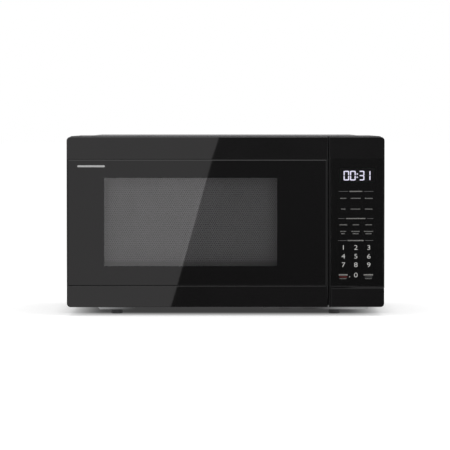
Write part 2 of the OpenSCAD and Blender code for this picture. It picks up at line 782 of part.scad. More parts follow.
module door_pan() color("silver") {
    lip = 5;
    slot_pitch = 20;
    difference() {
        union() {
            difference() {
                slab_y([pan_x0, pan_z0], [pan_x1, pan_z1], choke_front, choke_back, all4(4));
                slab_y([pan_x0 + sheet_t, pan_z0 + sheet_t], [pan_x1 - sheet_t, pan_z1 - sheet_t],
                    choke_front + sheet_t, centre_front, all4(3.2));
                slab_y([pan_x0 + lip, pan_z0 + lip], [pan_x1 - lip, pan_z1 - lip],
                    choke_front + sheet_t, choke_back + 1, all4(1));
            }
            slab_y([plate_x0, plate_z0], [plate_x1, plate_z1], choke_front, choke_back, all4(6));
        }
        slab_y([plate_x0 + sheet_t, plate_z0 + sheet_t], [plate_x1 - sheet_t, plate_z1 - sheet_t],
            choke_front - 1, centre_front, all4(5.2));
        slab_y([window_x - window_w / 2 - 5, window_z - window_h / 2 - 5],
            [window_x + window_w / 2 + 5, window_z + window_h / 2 + 5],
            choke_front, choke_back + 1, all4(3));
        for (x = [pan_x0 + 20:slot_pitch:pan_x1 - 20], z = [pan_z0 - 1, pan_z1 - lip])
            block([x, centre_front - 4, z], [x + 2.5, choke_back + 1, z + lip + 1]);
        for (z = [pan_z0 + 20:slot_pitch:pan_z1 - 20], x = [pan_x0 - 1, pan_x1 - lip])
            block([x, centre_front - 4, z], [x + lip + 1, choke_back + 1, z + 2.5]);
        for (p = screw_spots) rod_y([p.x, choke_front - 1, p.y], 1.55, 4);
    }
}

module inner_window() color("lightblue")
    slab_y([window_x - window_w / 2 - screen_m, window_z - window_h / 2 - screen_m],
        [window_x + window_w / 2 + screen_m, window_z + window_h / 2 + screen_m],
        choke_back, choke_back + 0.4, all4(3));

module choke_cover() color("dimgray") difference() {
    slab_y([pan_x0, face_z0 + wall + 0.3], [door_x1 - wall - 0.3, face_z1 - wall - 0.3],
        choke_back + 0.8, door_back, all4(1));
    slab_y([plate_x0 + 5, plate_z0 + 5], [plate_x1 - 5, plate_z1 - 5],
        choke_back, door_back + 1, all4(8));
    for (z = hook_zs)
        block([hook_x - 4, choke_back, z - 1], [hook_x + 4, door_back + 1, z + 16]);
}

module latch_head() color("white") {
    bar_y0 = door_back - 20;
    bar_y1 = door_back - 11;
    difference() {
        block([hook_x - 4.5, bar_y0, hook_zs[0] - 8], [hook_x + 4.5, bar_y1, hook_zs[1] + 18]);
        for (i = [0:3])
            block([hook_x - 3, bar_y0 - 1, 72 + i * 36], [hook_x + 3, bar_y0 + 6, 98 + i * 36]);
    }
    for (z = hook_zs)
        translate([hook_x - hook_w / 2, 0, 0]) rotate([90, 0, 90]) linear_extrude(hook_w)
            polygon([[bar_y1 - 2, z + 3.5], [hook_barb_y, z + 3.5], [hook_barb_y, z],
                [hook_tip_y, z], [hook_tip_y, z + 2.5], [hook_tip_y - 7, z + 9.6],
                [bar_y1 - 2, z + 9.6]]);
    block([hook_x + 4.5, bar_y0 + 2, 138], [hook_x + 9, bar_y0 + 7, 142]);
}

module latch_spring() color("silver") {
    spring_x = hook_x + 11;
    translate([spring_x, door_back - 15.5, 106]) coil_spring(2.6, 0.4, 3.4, 8);
}

module spring_posts() color("black") {
    block([hook_x + 7, door_back - 26, 102.6], [door_x1 - wall, door_back - 12, 105.4]);
}

// ---- Door hinges ----

module hinge() color("silver") {
    leaf_t = 1.5;
    block([sheet_t - inner_x + 0.2, plate_back, tongue_z0 - 2], [cav_x0 - 6, plate_back + leaf_t, tongue_z0 + 22]);
    block([hinge_x - 5.5, hinge_y, tongue_z0], [hinge_x + 6.5, plate_back, tongue_z0 + tongue_t]);
    rod_z([hinge_x, hinge_y, tongue_z0], 6.5, tongue_t);
    rod_z([hinge_x, hinge_y, tongue_z0 + tongue_t], hinge_pin_r, 12.5);
}

module hinge_lower() hinge();
module hinge_upper() translate([0, 0, face_z0 + face_z1]) mirror([0, 0, 1]) hinge();

base_pan();
feet();
outer_case();
case_screws();
rear_panel();
cord_gland();
front_plate();
cavity_box();
waveguide();
waveguide_cover();
thermal_cutouts();
lamp_holder();
cavity_lamp();
turntable_motor();
turntable_coupler();
glass_tray();
roller_ring();
roller(0);  // roller_1
roller(120);  // roller_2
roller(240);  // roller_3
magnetron_yoke();
magnetron_core();
magnetron_magnets();
magnetron_antenna();
transformer_core();
transformer_coils();
hv_capacitor();
capacitor_clamp();
hv_diode();
noise_filter();
fan_shroud();
fan_motor();
fan_blade();
air_duct();
latch_board();
interlock_switches();
switch_plungers();
release_lever();
lever_pin();
panel_body();  // panel_housing
panel_overlay();
display_module();
control_board();
panel_screws();
release_button();
button_spring();
union() { door_frame(); spring_posts(); }
door_glass();
door_film();
door_screen();
door_pan();
door_screws();
inner_window();
choke_cover();
latch_head();
latch_spring();
hinge_lower();
hinge_upper();
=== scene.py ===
import json
import math
import random

import bmesh
import bpy
from mathutils import Matrix, Vector


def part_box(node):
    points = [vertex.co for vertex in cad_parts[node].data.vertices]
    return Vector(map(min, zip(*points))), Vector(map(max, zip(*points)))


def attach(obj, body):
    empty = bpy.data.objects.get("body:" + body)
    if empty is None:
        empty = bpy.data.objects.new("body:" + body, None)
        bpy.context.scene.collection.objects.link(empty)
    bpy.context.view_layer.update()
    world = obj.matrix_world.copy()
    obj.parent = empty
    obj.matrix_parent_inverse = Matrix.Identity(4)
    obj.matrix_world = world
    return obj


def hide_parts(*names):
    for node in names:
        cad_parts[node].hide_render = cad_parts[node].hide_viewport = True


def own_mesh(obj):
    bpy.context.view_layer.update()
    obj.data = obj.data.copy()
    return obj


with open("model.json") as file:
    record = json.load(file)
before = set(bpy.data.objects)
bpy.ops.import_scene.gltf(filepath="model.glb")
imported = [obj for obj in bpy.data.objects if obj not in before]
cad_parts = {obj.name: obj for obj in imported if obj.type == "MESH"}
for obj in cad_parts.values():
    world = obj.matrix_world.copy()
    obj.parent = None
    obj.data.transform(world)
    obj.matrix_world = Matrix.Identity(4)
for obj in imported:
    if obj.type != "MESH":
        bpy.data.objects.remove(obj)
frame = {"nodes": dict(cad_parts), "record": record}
bpy.context.view_layer.update()
scene = bpy.context.scene
mm = 0.001

# ---- Camera ----
# A long lens five metres in front of the closed door, a little above the oven's top,
# so that the front stays square and only a sliver of the case top shows.
def put(name, data):
    """Puts a new object into the scene."""
    thing = bpy.data.objects.new(name, data)
    scene.collection.objects.link(thing)
    return thing


face_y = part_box("door_frame")[0].y
camera_distance = 5.0
camera_pitch = math.radians(1.8)
view_width = 0.6865
camera_data = bpy.data.cameras.new("camera")
camera_data.sensor_width = 36.0
camera_data.lens = camera_data.sensor_width * camera_distance / view_width
camera_data.clip_end = 200.0
camera = put("camera", camera_data)
aim = Vector((-0.9 * mm, face_y, 138.6 * mm))
camera_way = Vector((0, -math.cos(camera_pitch), math.sin(camera_pitch)))
camera.location = aim + camera_distance * camera_way
camera.rotation_euler = (math.pi / 2 - camera_pitch, 0, 0)
scene.camera = camera


# ---- Studio: floor, light and the tall white card ----
# A white sweep with even soft light, and a painted shadow under the oven. Gloss sees bright walls
# and ceiling but a dark room in front, and one tall card on the left of it, whose slanting edge
# falls across the door.
class Field:
    """A value at each point of a surface. Arithmetic on it adds the Math nodes."""

    def __init__(self, finish, socket):
        self.finish = finish
        self.socket = socket

    def maths(self, operation, other=0.0, swapped=False):
        first, second = (other, self) if swapped else (self, other)
        return self.finish.add("ShaderNodeMath", {"operation": operation}, {0: first, 1: second})

    def __add__(self, other):
        return self.maths("ADD", other)

    def __sub__(self, other):
        return self.maths("SUBTRACT", other)

    def __rsub__(self, other):
        return self.maths("SUBTRACT", other, swapped=True)

    def __mul__(self, other):
        return self.maths("MULTIPLY", other)

    __radd__ = __add__
    __rmul__ = __mul__


class Finish:
    """The nodes of one finish, and the few ways in which they are added."""

    def __init__(self, owner):
        owner.use_nodes = True
        self.tree = owner.node_tree
        self.tree.nodes.clear()

    def add(self, kind, settings=None, sockets=None, out=0):
        node = self.tree.nodes.new(kind)
        for name, value in (settings or {}).items():
            setattr(node, name, value)
        for name, value in (sockets or {}).items():
            if isinstance(value, Field):
                self.tree.links.new(value.socket, node.inputs[name])
            else:
                node.inputs[name].default_value = value
        return Field(self, node.outputs[out]) if node.outputs else None

    def parts(self, vector):
        """The x, y and z of a vector."""
        first = self.add("ShaderNodeSeparateXYZ", {}, {0: vector})
        return [Field(self, socket) for socket in first.socket.node.outputs]

    def step(self, value, low, high, start=0.0, end=1.0):
        """Rises smoothly from start to end as the value goes from low to high."""
        return self.add("ShaderNodeMapRange", {"interpolation_type": "SMOOTHSTEP"},
            {0: value, 1: low, 2: high, 3: start, 4: end})

    def mix(self, mask, first, second):
        """A colour between two colours."""
        settings = {"data_type": "RGBA", "clamp_factor": True}
        return self.add("ShaderNodeMix", settings, {0: mask, 6: first, 7: second}, out=2)


floor_reach = 40.0
floor_mesh = bmesh.new()
bmesh.ops.create_grid(floor_mesh, x_segments=2, y_segments=2, size=floor_reach)
floor_data = bpy.data.meshes.new("floor")
floor_mesh.to_mesh(floor_data)
floor = put("floor", floor_data)
floor.visible_glossy = False
white = bpy.data.materials.new("floor_white")
paper = Finish(white)
# Painted shadow: the floor's colour and glow are made darker under and round the oven's footprint,
# deepening the shadow that the oven casts.
shade_half_sizes = (0.185, 0.095)
shade_fade = 0.09
glow_in_shade = 0.045
glow_gained = 0.455
beyond = []
for along, half in zip(paper.parts(paper.add("ShaderNodeTexCoord", out="Object")), shade_half_sizes):
    beyond.append((along.maths("ABSOLUTE") - half).maths("MAXIMUM", 0.0))
off_shade = (beyond[0] * beyond[0] + beyond[1] * beyond[1]).maths("SQRT")
out_of_painted_shadow = paper.step(off_shade, 0.0, shade_fade)
paper_tone_and_painted_shadow = paper.mix(out_of_painted_shadow, (0.12, 0.12, 0.12, 1), (0.60, 0.60, 0.60, 1))
paper_shade = paper.add("ShaderNodeBsdfDiffuse", {}, {"Color": paper_tone_and_painted_shadow})
paper_glow = paper.add("ShaderNodeEmission", {}, {"Color": (1, 1, 1, 1),
    "Strength": glow_in_shade + out_of_painted_shadow * glow_gained})
paper_sum = paper.add("ShaderNodeAddShader", {}, {0: paper_shade, 1: paper_glow})
paper.add("ShaderNodeOutputMaterial", {}, {"Surface": paper_sum})
floor_data.materials.append(white)

room = bpy.data.worlds.new("room")
scene.world = room
walls = Finish(room)
_, way_y, way_z = walls.parts(walls.add("ShaderNodeTexCoord", out="Generated"))
in_front = walls.step(0.0 - way_y, 0.30, 0.90)
overhead = walls.step(way_z, 0.35, 0.95)
below = walls.step(0.0 - way_z, 0.05, 0.60)
low_front = walls.step(0.0 - way_z, 0.0, 0.06)
wall_light = 1.05
ceiling_light = 1.5
front_loss, low_front_loss = 0.93, 0.035
below_loss = 0.55
front_dark = (front_loss + low_front_loss * low_front) * in_front
gloss_light = (wall_light - front_dark + ceiling_light * overhead) * (1.0 - below_loss * below)
is_gloss = walls.add("ShaderNodeLightPath", out="Is Glossy Ray")
is_camera = walls.add("ShaderNodeLightPath", out="Is Camera Ray")
soft_light = 0.86
seen = gloss_light * is_gloss + soft_light * (1.0 - is_gloss)
strength = is_camera + seen * (1.0 - is_camera)
sky = walls.add("ShaderNodeBackground", {}, {"Color": (1, 1, 1, 1), "Strength": strength})
walls.add("ShaderNodeOutputWorld", {}, {"Surface": sky})
scene.view_settings.view_transform = "Standard"

lamp_data = bpy.data.lights.new("soft_box", "AREA")
lamp_data.shape = "RECTANGLE"
lamp_data.size = 2.4
lamp_data.size_y = 1.6
lamp_data.energy = 22.0
soft_box = put("soft_box", lamp_data)
soft_box.location = (0.1, -0.5, 2.4)
soft_box.rotation_euler = (math.radians(-12), 0, 0)

card_gap = 1.2
edge_top, edge_foot = (-0.0132, 0.2676), (-0.1027, -0.0548)
card_left = -1.6
card_low, card_high = -0.6, 1.4
edge_slope = (edge_top[0] - edge_foot[0]) / (edge_top[1] - edge_foot[1])


def card_side(z):
    """Where the card's slanting edge is at a height."""
    return edge_top[0] + edge_slope * (z - edge_top[1])


card_mesh = bmesh.new()
card_corners = [(card_left, card_low), (card_side(card_low), card_low),
    (card_side(card_high), card_high), (card_left, card_high)]
card_mesh.faces.new([card_mesh.verts.new((x, face_y - card_gap, z)) for x, z in card_corners])
card_data = bpy.data.meshes.new("white_card")
card_mesh.to_mesh(card_data)
card = put("white_card", card_data)
card_paint = bpy.data.materials.new("card_white")
card_nodes = Finish(card_paint)
card_glow = card_nodes.add("ShaderNodeEmission", {}, {"Color": (1, 0.985, 0.99, 1),
    "Strength": 0.86})
card_nodes.add("ShaderNodeOutputMaterial", {}, {"Surface": card_glow})
card_data.materials.append(card_paint)
card.visible_camera = False
card.visible_diffuse = False
card.visible_shadow = False
card.visible_transmission = False


# ---- Base pan and rear panel ----
# Galvanised steel sheet, pressed and punched: the pan has four bosses for the feet, and the
# rear panel has a raised spacer. Spangle and faint streaks; the pan's middle is made darker, a painted
# shade.
class Surface(Finish):
    """A finish on the object itself, with the patterns that its materials share."""

    def __init__(self, name):
        self.material = bpy.data.materials.new(name)
        super().__init__(self.material)

    def place(self, stretch=(1, 1, 1)):
        """The point on the object, in metres, stretched along its axes."""
        point = self.add("ShaderNodeTexCoord", out="Object")
        return self.add("ShaderNodeMapping", {}, {"Vector": point, "Scale": stretch})

    def cloud(self, size, detail=2.0, stretch=(1, 1, 1)):
        """Cloudy variation from 0 to 1 in patches of about that size."""
        sockets = {"Vector": self.place(stretch), "Scale": 1 / size, "Detail": detail}
        return self.step(self.add("ShaderNodeTexNoise", {}, sockets), 0.25, 0.75)

    def rim(self, box, width):
        """1 on the edges of a box, 0 further than the width from them."""
        depths = []
        axes = zip(self.parts(self.place()), box[0], box[1])
        for along, low, high in axes:
            off_centre = (along - (low + high) / 2).maths("ABSOLUTE")
            depths.append((high - low) / 2 - off_centre)
        a, b, c = depths
        middle = a.maths("MINIMUM", b).maths("MAXIMUM", a.maths("MAXIMUM", b).maths("MINIMUM", c))
        return self.step(middle, 0.0, width, 1.0, 0.0)

    def relief(self, height, depth):
        """Fine relief, as a Normal."""
        sockets = {"Height": height, "Distance": depth, "Strength": 1.0}
        return self.add("ShaderNodeBump", {}, sockets)

    def done(self, shader):
        self.add("ShaderNodeOutputMaterial", {}, {"Surface": shader})
        return self.material

    def finish(self, colour, roughness, metal=0.0, normal=None, **fixed):
        sockets = {"Base Color": colour, "Roughness": roughness, "Metallic": metal}
        if normal:
            sockets["Normal"] = normal
        sockets.update({name.replace("_", " "): value for name, value in fixed.items()})
        return self.done(self.add("ShaderNodeBsdfPrincipled", {}, sockets))


def zinc_sheet(name, light, dark, along=(1, 8, 8), middle_shade_span=None):
    """Galvanised sheet. The last argument, if given, is how far from the middle a painted shade starts
    and stops fading.
    """
    s = Surface(name)
    crystals = s.add("ShaderNodeTexVoronoi", {}, {"Vector": s.place(), "Scale": 95.0}, out="Color")
    grain = s.step(crystals, 0.2, 0.8)
    streaks = s.cloud(0.05, 3.0, along)
    haze = s.cloud(0.12, 2.0)
    tone = grain * 0.45 + streaks * 0.3 + haze * 0.25
    fine = s.cloud(0.0012, 2.0)
    colour = s.mix(tone, dark, light)
    # Painted shade: the sheet's colour darkens towards its middle across x, standing in for the shade
    # under the oven.
    if middle_shade_span:
        across = s.parts(s.place())[0]
        out_of_middle_shade = s.step(across.maths("ABSOLUTE"), *middle_shade_span)
        colour = s.mix(out_of_middle_shade, (0.12, 0.12, 0.121, 1), colour)
    return s.finish(colour, 0.34 + 0.18 * grain + 0.10 * haze,
        metal=0.45 + 0.25 * grain, normal=s.relief(fine + grain * 0.5, 0.00002))


def dress(material, *nodes):
    """Gives CAD nodes a finish."""
    for node in nodes:
        slots = frame["nodes"][node].data.materials
        slots.clear()
        slots.append(material)


dress(zinc_sheet("pale_zinc", (0.80, 0.81, 0.81, 1), (0.56, 0.57, 0.58, 1),
    middle_shade_span=(0.135, 0.205)), "base_pan")
rolled_zinc = zinc_sheet("rolled_zinc", (0.62, 0.63, 0.64, 1), (0.40, 0.41, 0.42, 1), (8, 1, 8))
dress(rolled_zinc, "rear_panel")


# ---- Feet ----
# Four turned-over rubber buttons pushed into the pan's bosses. Soft black moulding with a
# rolled lower edge, a shallow ring underneath and dust in its pores.
def rubber(name):
    s = Surface(name)
    pores = s.cloud(0.0009, 3.0)
    dust = s.cloud(0.02, 3.0)
    colour = s.mix(dust, (0.06, 0.06, 0.062, 1), (0.10, 0.10, 0.102, 1))
    return s.finish(colour, 0.72 + 0.2 * pores, normal=s.relief(pores, 0.00008))


def turned(profile, steps=48, axis=(0, 0, 1), at=(0, 0, 0)):
    """Spins a closed half-outline of (radius, height) about an axis through a point."""
    shape = bmesh.new()
    verts = [shape.verts.new((radius, 0, height)) for radius, height in profile]
    edges = [shape.edges.new(pair) for pair in zip(verts, verts[1:])]
    if profile[0][0] > 1e-7 or profile[-1][0] > 1e-7:
        edges.append(shape.edges.new((verts[-1], verts[0])))
    bmesh.ops.spin(shape, geom=verts + edges, cent=(0, 0, 0), axis=(0, 0, 1),
        angle=2 * math.pi, steps=steps, use_merge=True)
    bmesh.ops.remove_doubles(shape, verts=shape.verts, dist=1e-7)
    bmesh.ops.recalc_face_normals(shape, faces=shape.faces)
    turn = Vector((0, 0, 1)).rotation_difference(Vector(axis)).to_matrix().to_4x4()
    bmesh.ops.transform(shape, matrix=Matrix.Translation(at) @ turn, verts=shape.verts)
    return shape


def join(*shapes):
    """One shape made of several."""
    whole = bmesh.new()
    for shape in shapes:
        part = bpy.data.meshes.new("part")
        shape.to_mesh(part)
        whole.from_mesh(part)
        bpy.data.meshes.remove(part)
    return whole


def place_piece(name, shape, material, body, stands_for=(), smooth=35):
    """Makes the object of a new piece, hangs it on the empty of the body it rides on and hides the CAD
    nodes it stands for.
    """
    data = bpy.data.meshes.new(name)
    shape.to_mesh(data)
    shape.free()
    data.shade_smooth()
    data.set_sharp_from_angle(angle=math.radians(smooth))
    data.materials.append(material)
    piece = put(name, data)
    even = piece.modifiers.new("even_shading", "WEIGHTED_NORMAL")
    even.keep_sharp = True
    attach(piece, body)
    for node in stands_for:
        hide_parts(node)
    return piece


feet_lo, feet_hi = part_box("feet")
foot_r = 9 * mm
foot_h = feet_hi.z
foot_outline = [(0, 1.2 * mm), (4.6 * mm, 1.2 * mm), (5.0 * mm, 0.9 * mm), (5.4 * mm, 0.2 * mm),
    (6.0 * mm, 0), (7.4 * mm, 0), (8.2 * mm, 0.25 * mm), (8.8 * mm, 0.9 * mm), (foot_r, 1.8 * mm),
    (8.7 * mm, 3.4 * mm), (8.3 * mm, foot_h - 1.0 * mm), (7.9 * mm, foot_h - 0.3 * mm),
    (7.2 * mm, foot_h), (0, foot_h)]
foot_spots = [(x, y, 0) for x in (feet_lo.x + foot_r, feet_hi.x - foot_r)
    for y in (feet_lo.y + foot_r, feet_hi.y - foot_r)]
place_piece("rubber_feet", join(*[turned(foot_outline, at=spot) for spot in foot_spots]),
    rubber("foot_rubber_black"), "root", ["feet"])


# ---- Outer case ----
# One folded cover of thin steel sheet in dark textured powder coat, with a raised field on
# top and punched side vents. The coat is thinner and lighter on the folds.
def powder_coat(name, node, dark, light, gloss=0.42):
    s = Surface(name)
    peel = s.cloud(0.0016, 2.0)
    patches = s.cloud(0.09, 3.0)
    worn = s.rim(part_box(node), 0.003) * s.cloud(0.012, 4.0)
    colour = s.mix(worn * 0.6, s.mix(patches, dark, light), (0.22, 0.22, 0.23, 1))
    return s.finish(colour, gloss + 0.10 * patches + 0.06 * peel,
        normal=s.relief(peel, 0.00006), Specular_IOR_Level=0.3)


dress(powder_coat("case_coat", "outer_case", (0.030, 0.029, 0.031, 1), (0.040, 0.039, 0.041, 1)),
    "outer_case")


# ---- Screws of the case, panel board and door ----
# Pressed pan-head screws of plated steel with a cross recess. They are driven through the sheet
# from behind, and into the door pan from its inner side.
def tinted(colour, factor, lift=0.0):
    """A colour made darker or lighter."""
    return tuple(min(1.0, factor * part + lift) for part in colour[:3]) + (1,)


def bright_steel(name, tint=(0.62, 0.62, 0.63, 1), dull=0.30):
    s = Surface(name)
    turning = s.cloud(0.0008, 3.0, (1, 1, 4))
    stain = s.cloud(0.008, 3.0)
    return s.finish(s.mix(stain, tinted(tint, 0.72), tint), dull + 0.14 * turning, metal=0.92,
        normal=s.relief(turning, 0.00001))


def merged_copy(node, merge=2e-6):
    """A copy of a CAD node's triangles, joined where they meet."""
    shape = bmesh.new()
    shape.from_mesh(frame["nodes"][node].data)
    bmesh.ops.remove_doubles(shape, verts=shape.verts, dist=merge)
    return shape


def shell_parts(node):
    """The boxes of a CAD node's separate solids."""
    shape = merged_copy(node, 1e-6)
    left = set(shape.verts)
    boxes = []
    while left:
        group, front = set(), [left.pop()]
        while front:
            vert = front.pop()
            group.add(vert)
            for edge in vert.link_edges:
                other = edge.other_vert(vert)
                if other in left:
                    left.remove(other)
                    front.append(other)
        low = Vector([min(v.co[i] for v in group) for i in range(3)])
        high = Vector([max(v.co[i] for v in group) for i in range(3)])
        boxes.append((low, high))
    shape.free()
    boxes.sort(key=lambda box: (round(box[0].x, 4), round(box[0].z, 4)))
    return boxes


def screw(box, head_r):
    """A screw along Y with its head at the rear end of its box."""
    centre = (box[0] + box[1]) / 2
    head_h = 2.0 * mm
    recess = 0.9 * mm
    wedge = 15
    shank_r = 0.42 * head_r
    shank = (box[1].y - box[0].y) - head_h
    outline = [(0, -shank), (shank_r * 0.7, -shank), (shank_r, -shank + 0.3 * mm), (shank_r, 0),
        (head_r * 0.97, 0), (head_r, 0.2 * mm), (head_r, 0.9 * mm), (head_r * 0.94, 1.35 * mm),
        (head_r * 0.78, 1.75 * mm), (head_r * 0.5, head_h), (0, head_h)]
    shape = turned(outline, steps=24)
    cross = []
    for face in shape.faces:
        middle = face.calc_center_median()
        angle = math.degrees(math.atan2(middle.y, middle.x)) % 90
        if middle.z > head_h - 1e-5 and (angle < wedge or angle >= 90 - wedge):
            cross.append(face)
    bmesh.ops.inset_region(shape, faces=cross, thickness=0.05 * mm, use_boundary=True)
    sunk = {v for f in cross for v in f.verts if all(g in cross for g in v.link_faces)}
    bmesh.ops.translate(shape, vec=(0, 0, -recess), verts=list(sunk))
    turn = Vector((0, 0, 1)).rotation_difference(Vector((0, 1, 0))).to_matrix().to_4x4()
    spot = Matrix.Translation((centre.x, box[1].y - head_h, centre.z))
    bmesh.ops.transform(shape, matrix=spot @ turn, verts=shape.verts)
    return shape


plated = bright_steel("plated_screws")
for name, node, body in (("case_screw_set", "case_screws", "root"),
        ("board_screw_set", "panel_screws", "root"), ("door_screw_set", "door_screws", "door")):
    screws = [screw(box, (box[1].x - box[0].x) / 2) for box in shell_parts(node)]
    place_piece(name, join(*screws), plated, body, [node])


# ---- Cord gland ----
# A moulded black nylon bush snapped into the rear panel, where a mains lead would leave.
def moulding(name, colour, rough=0.42, grain=0.00003, spread=0.18, node=None):
    """Moulded plastic: fine spark grain, slight flow marks and rubbed edges."""
    s = Surface(name)
    flow = s.cloud(0.06, 3.0, (1, 1, 2.5))
    pits = s.cloud(0.0007, 2.0)
    body = s.mix(flow, tinted(colour, 1 - spread), tinted(colour, 1 + spread))
    if node:
        rubbed = s.rim(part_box(node), 0.002) * s.cloud(0.01, 4.0)
        body = s.mix(rubbed, body, tinted(colour, 1.5, 0.02))
    return s.finish(body, rough + 0.10 * pits + 0.06 * flow, normal=s.relief(pits, grain))


black_nylon = moulding("black_nylon_moulding", (0.020, 0.020, 0.021), 0.46)
dress(black_nylon, "cord_gland")


# ---- Front plate, cavity and door pan ----
# Steel pressings in fired enamel with fine flecks: the oven cavity in grey, and in near black
# the front plate that the door shuts against and the pan of the door.
def enamel(name, colour, fleck, gloss):
    s = Surface(name)
    dots = s.add("ShaderNodeTexVoronoi", {}, {"Vector": s.place(), "Scale": 420.0})
    flecks = s.step(dots, 0.10, 0.26, 1.0, 0.0) * s.step(s.cloud(0.004, 1.0), 0.35, 0.6)
    pool = s.cloud(0.05, 2.0)
    base = s.mix(pool, colour + (1,), tinted(colour, 0.88))
    peel = s.cloud(0.004, 2.0)
    return s.finish(s.mix(flecks, base, fleck), gloss + 0.12 * pool,
        normal=s.relief(peel, 0.00003), Coat_Weight=0.35, Coat_Roughness=0.12)


dress(enamel("grey_enamel", (0.50, 0.51, 0.51), (0.10, 0.10, 0.11, 1), 0.28), "cavity_box")
dress(enamel("dark_enamel", (0.045, 0.045, 0.048), (0.10, 0.10, 0.10, 1), 0.30),
    "front_plate", "door_pan")


# ---- Waveguide and its cover, cutouts, lamp ----
# A zinc-coated steel duct welded to the cavity with a mica sheet over its inlet, two thermal
# cutouts, and a lamp in its white holder.
def mica_sheet():
    s = Surface("mica_sheet")
    flakes = s.add("ShaderNodeTexVoronoi", {}, {"Vector": s.place((0.4, 1, 1)), "Scale": 160.0},
        out="Color")
    tone = s.step(flakes, 0.1, 0.9) * 0.6 + s.cloud(0.02, 4.0) * 0.4
    colour = s.mix(tone, (0.30, 0.24, 0.15, 1), (0.62, 0.55, 0.42, 1))
    return s.finish(colour, 0.30 + 0.25 * tone, metal=0.15, normal=s.relief(tone, 0.00004))


ivory = moulding("ivory_moulding", (0.62, 0.58, 0.48), 0.40, spread=0.05)
white_plastic = moulding("white_moulding", (0.70, 0.70, 0.68), 0.38, spread=0.04)
dress(rolled_zinc, "waveguide")
dress(mica_sheet(), "waveguide_cover")
dress(ivory, "thermal_cutouts")
dress(white_plastic, "lamp_holder")


def clear_glass(name, tint, rough, ripple):
    s = Surface(name)
    waves = s.cloud(0.02, 2.0)
    smears = s.cloud(0.03, 4.0, (1, 3, 1))
    return s.finish(s.mix(waves, tint + (1,), tinted(tint, 1.04)), rough + 0.05 * smears,
        normal=s.relief(waves, ripple), Transmission_Weight=0.92, IOR=1.47)


dress(clear_glass("lamp_bulb_glass", (0.95, 0.93, 0.85), 0.06, 0.00004), "cavity_lamp")


# ---- Turntable: motor, coupler, tray, roller ring and wheels ----
# A zinc-coated motor can turns a moulded coupler under a pressed glass dish, which a white ring
# carries on three wheels that run on the cavity floor. The dish has a rounded rim.
def round_edges(shape, chosen, width, segments=3):
    """Rounds the edges that `chosen` picks."""
    edges = [e for e in shape.edges if chosen(e)]
    bmesh.ops.bevel(shape, geom=edges, offset=width, offset_type="OFFSET", segments=segments,
        affect="EDGES", profile=0.5, material=-1, clamp_overlap=False)


dress(rolled_zinc, "turntable_motor")
dress(ivory, "turntable_coupler")
tray_lo, tray_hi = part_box("glass_tray")
tray_r = (tray_hi.x - tray_lo.x) / 2
tray_x, tray_y = (tray_lo.x + tray_hi.x) / 2, (tray_lo.y + tray_hi.y) / 2
lug_h = 4.5 * mm
lug_ring_r = 14.75 * mm
tray_z = tray_lo.z + lug_h
rim_z = tray_hi.z - tray_z
tray_outline = [(0, 0), (tray_r - 18 * mm, 0), (tray_r - 16.2 * mm, 0.3 * mm),
    (tray_r - 14.5 * mm, 1.1 * mm), (tray_r - 2.6 * mm, 8.7 * mm), (tray_r - 0.9 * mm, 10.4 * mm),
    (tray_r - 0.1 * mm, 11.6 * mm), (tray_r, 12.3 * mm), (tray_r - 0.4 * mm, rim_z - 0.5 * mm),
    (tray_r - 1.3 * mm, rim_z), (tray_r - 2.6 * mm, rim_z - 0.1 * mm),
    (tray_r - 3.8 * mm, rim_z - 0.9 * mm), (tray_r - 5.2 * mm, rim_z - 2.0 * mm),
    (tray_r - 16.0 * mm, 5.2 * mm), (tray_r - 17.6 * mm, 4.3 * mm), (tray_r - 19 * mm, 4 * mm),
    (60 * mm, 4 * mm), (58.5 * mm, 3.5 * mm), (57 * mm, 4 * mm), (0, 4 * mm)]
dish = turned(tray_outline, steps=128, at=(tray_x, tray_y, tray_z))
lugs = []
for angle in (60, 180, 300):
    lug = bmesh.new()
    size = Matrix.Diagonal((8.5 * mm, 8 * mm, lug_h, 1))
    bmesh.ops.create_cube(lug, size=1.0, matrix=size)
    round_edges(lug, lambda e: abs(e.verts[0].co.z - e.verts[1].co.z) > 1e-4, 2 * mm, segments=4)
    round_edges(lug, lambda e: max(v.co.z for v in e.verts) < 0, 0.5 * mm, segments=2)
    swing = Matrix.Rotation(math.radians(angle), 4, "Z")
    shift = Matrix.Translation((lug_ring_r, 0, -lug_h / 2))
    spot = Matrix.Translation((tray_x, tray_y, tray_z))
    bmesh.ops.transform(lug, matrix=spot @ swing @ shift, verts=lug.verts)
    lugs.append(lug)
place_piece("glass_dish", join(dish, *lugs),
    clear_glass("tray_clear_glass", (0.86, 0.93, 0.92), 0.03, 0.00008), "turntable",
    ["glass_tray"])

wheel_lo, wheel_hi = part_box("roller_1")
axle_z = (wheel_lo.z + wheel_hi.z) / 2
wheel_r = (wheel_hi.z - wheel_lo.z) / 2
wheel_x = (wheel_lo.x + wheel_hi.x) / 2
track_r = wheel_x - tray_x
ring_outline = [(86 * mm, -2.0 * mm), (86.5 * mm, -2.5 * mm), (94.5 * mm, -2.5 * mm),
    (95 * mm, -2.0 * mm), (95 * mm, 2.0 * mm), (94.5 * mm, 2.5 * mm), (92.4 * mm, 2.5 * mm),
    (91.8 * mm, 1.4 * mm), (89.2 * mm, 1.4 * mm), (88.6 * mm, 2.5 * mm), (86.5 * mm, 2.5 * mm),
    (86 * mm, 2.0 * mm)]
cap_x = track_r + 4.4 * mm
axle_outline = [(0, 93 * mm), (2 * mm, 93 * mm), (2 * mm, cap_x), (3.2 * mm, cap_x),
    (3.4 * mm, cap_x + 0.25 * mm), (3.4 * mm, cap_x + 1.2 * mm), (2.9 * mm, cap_x + 1.6 * mm),
    (0, cap_x + 1.6 * mm)]
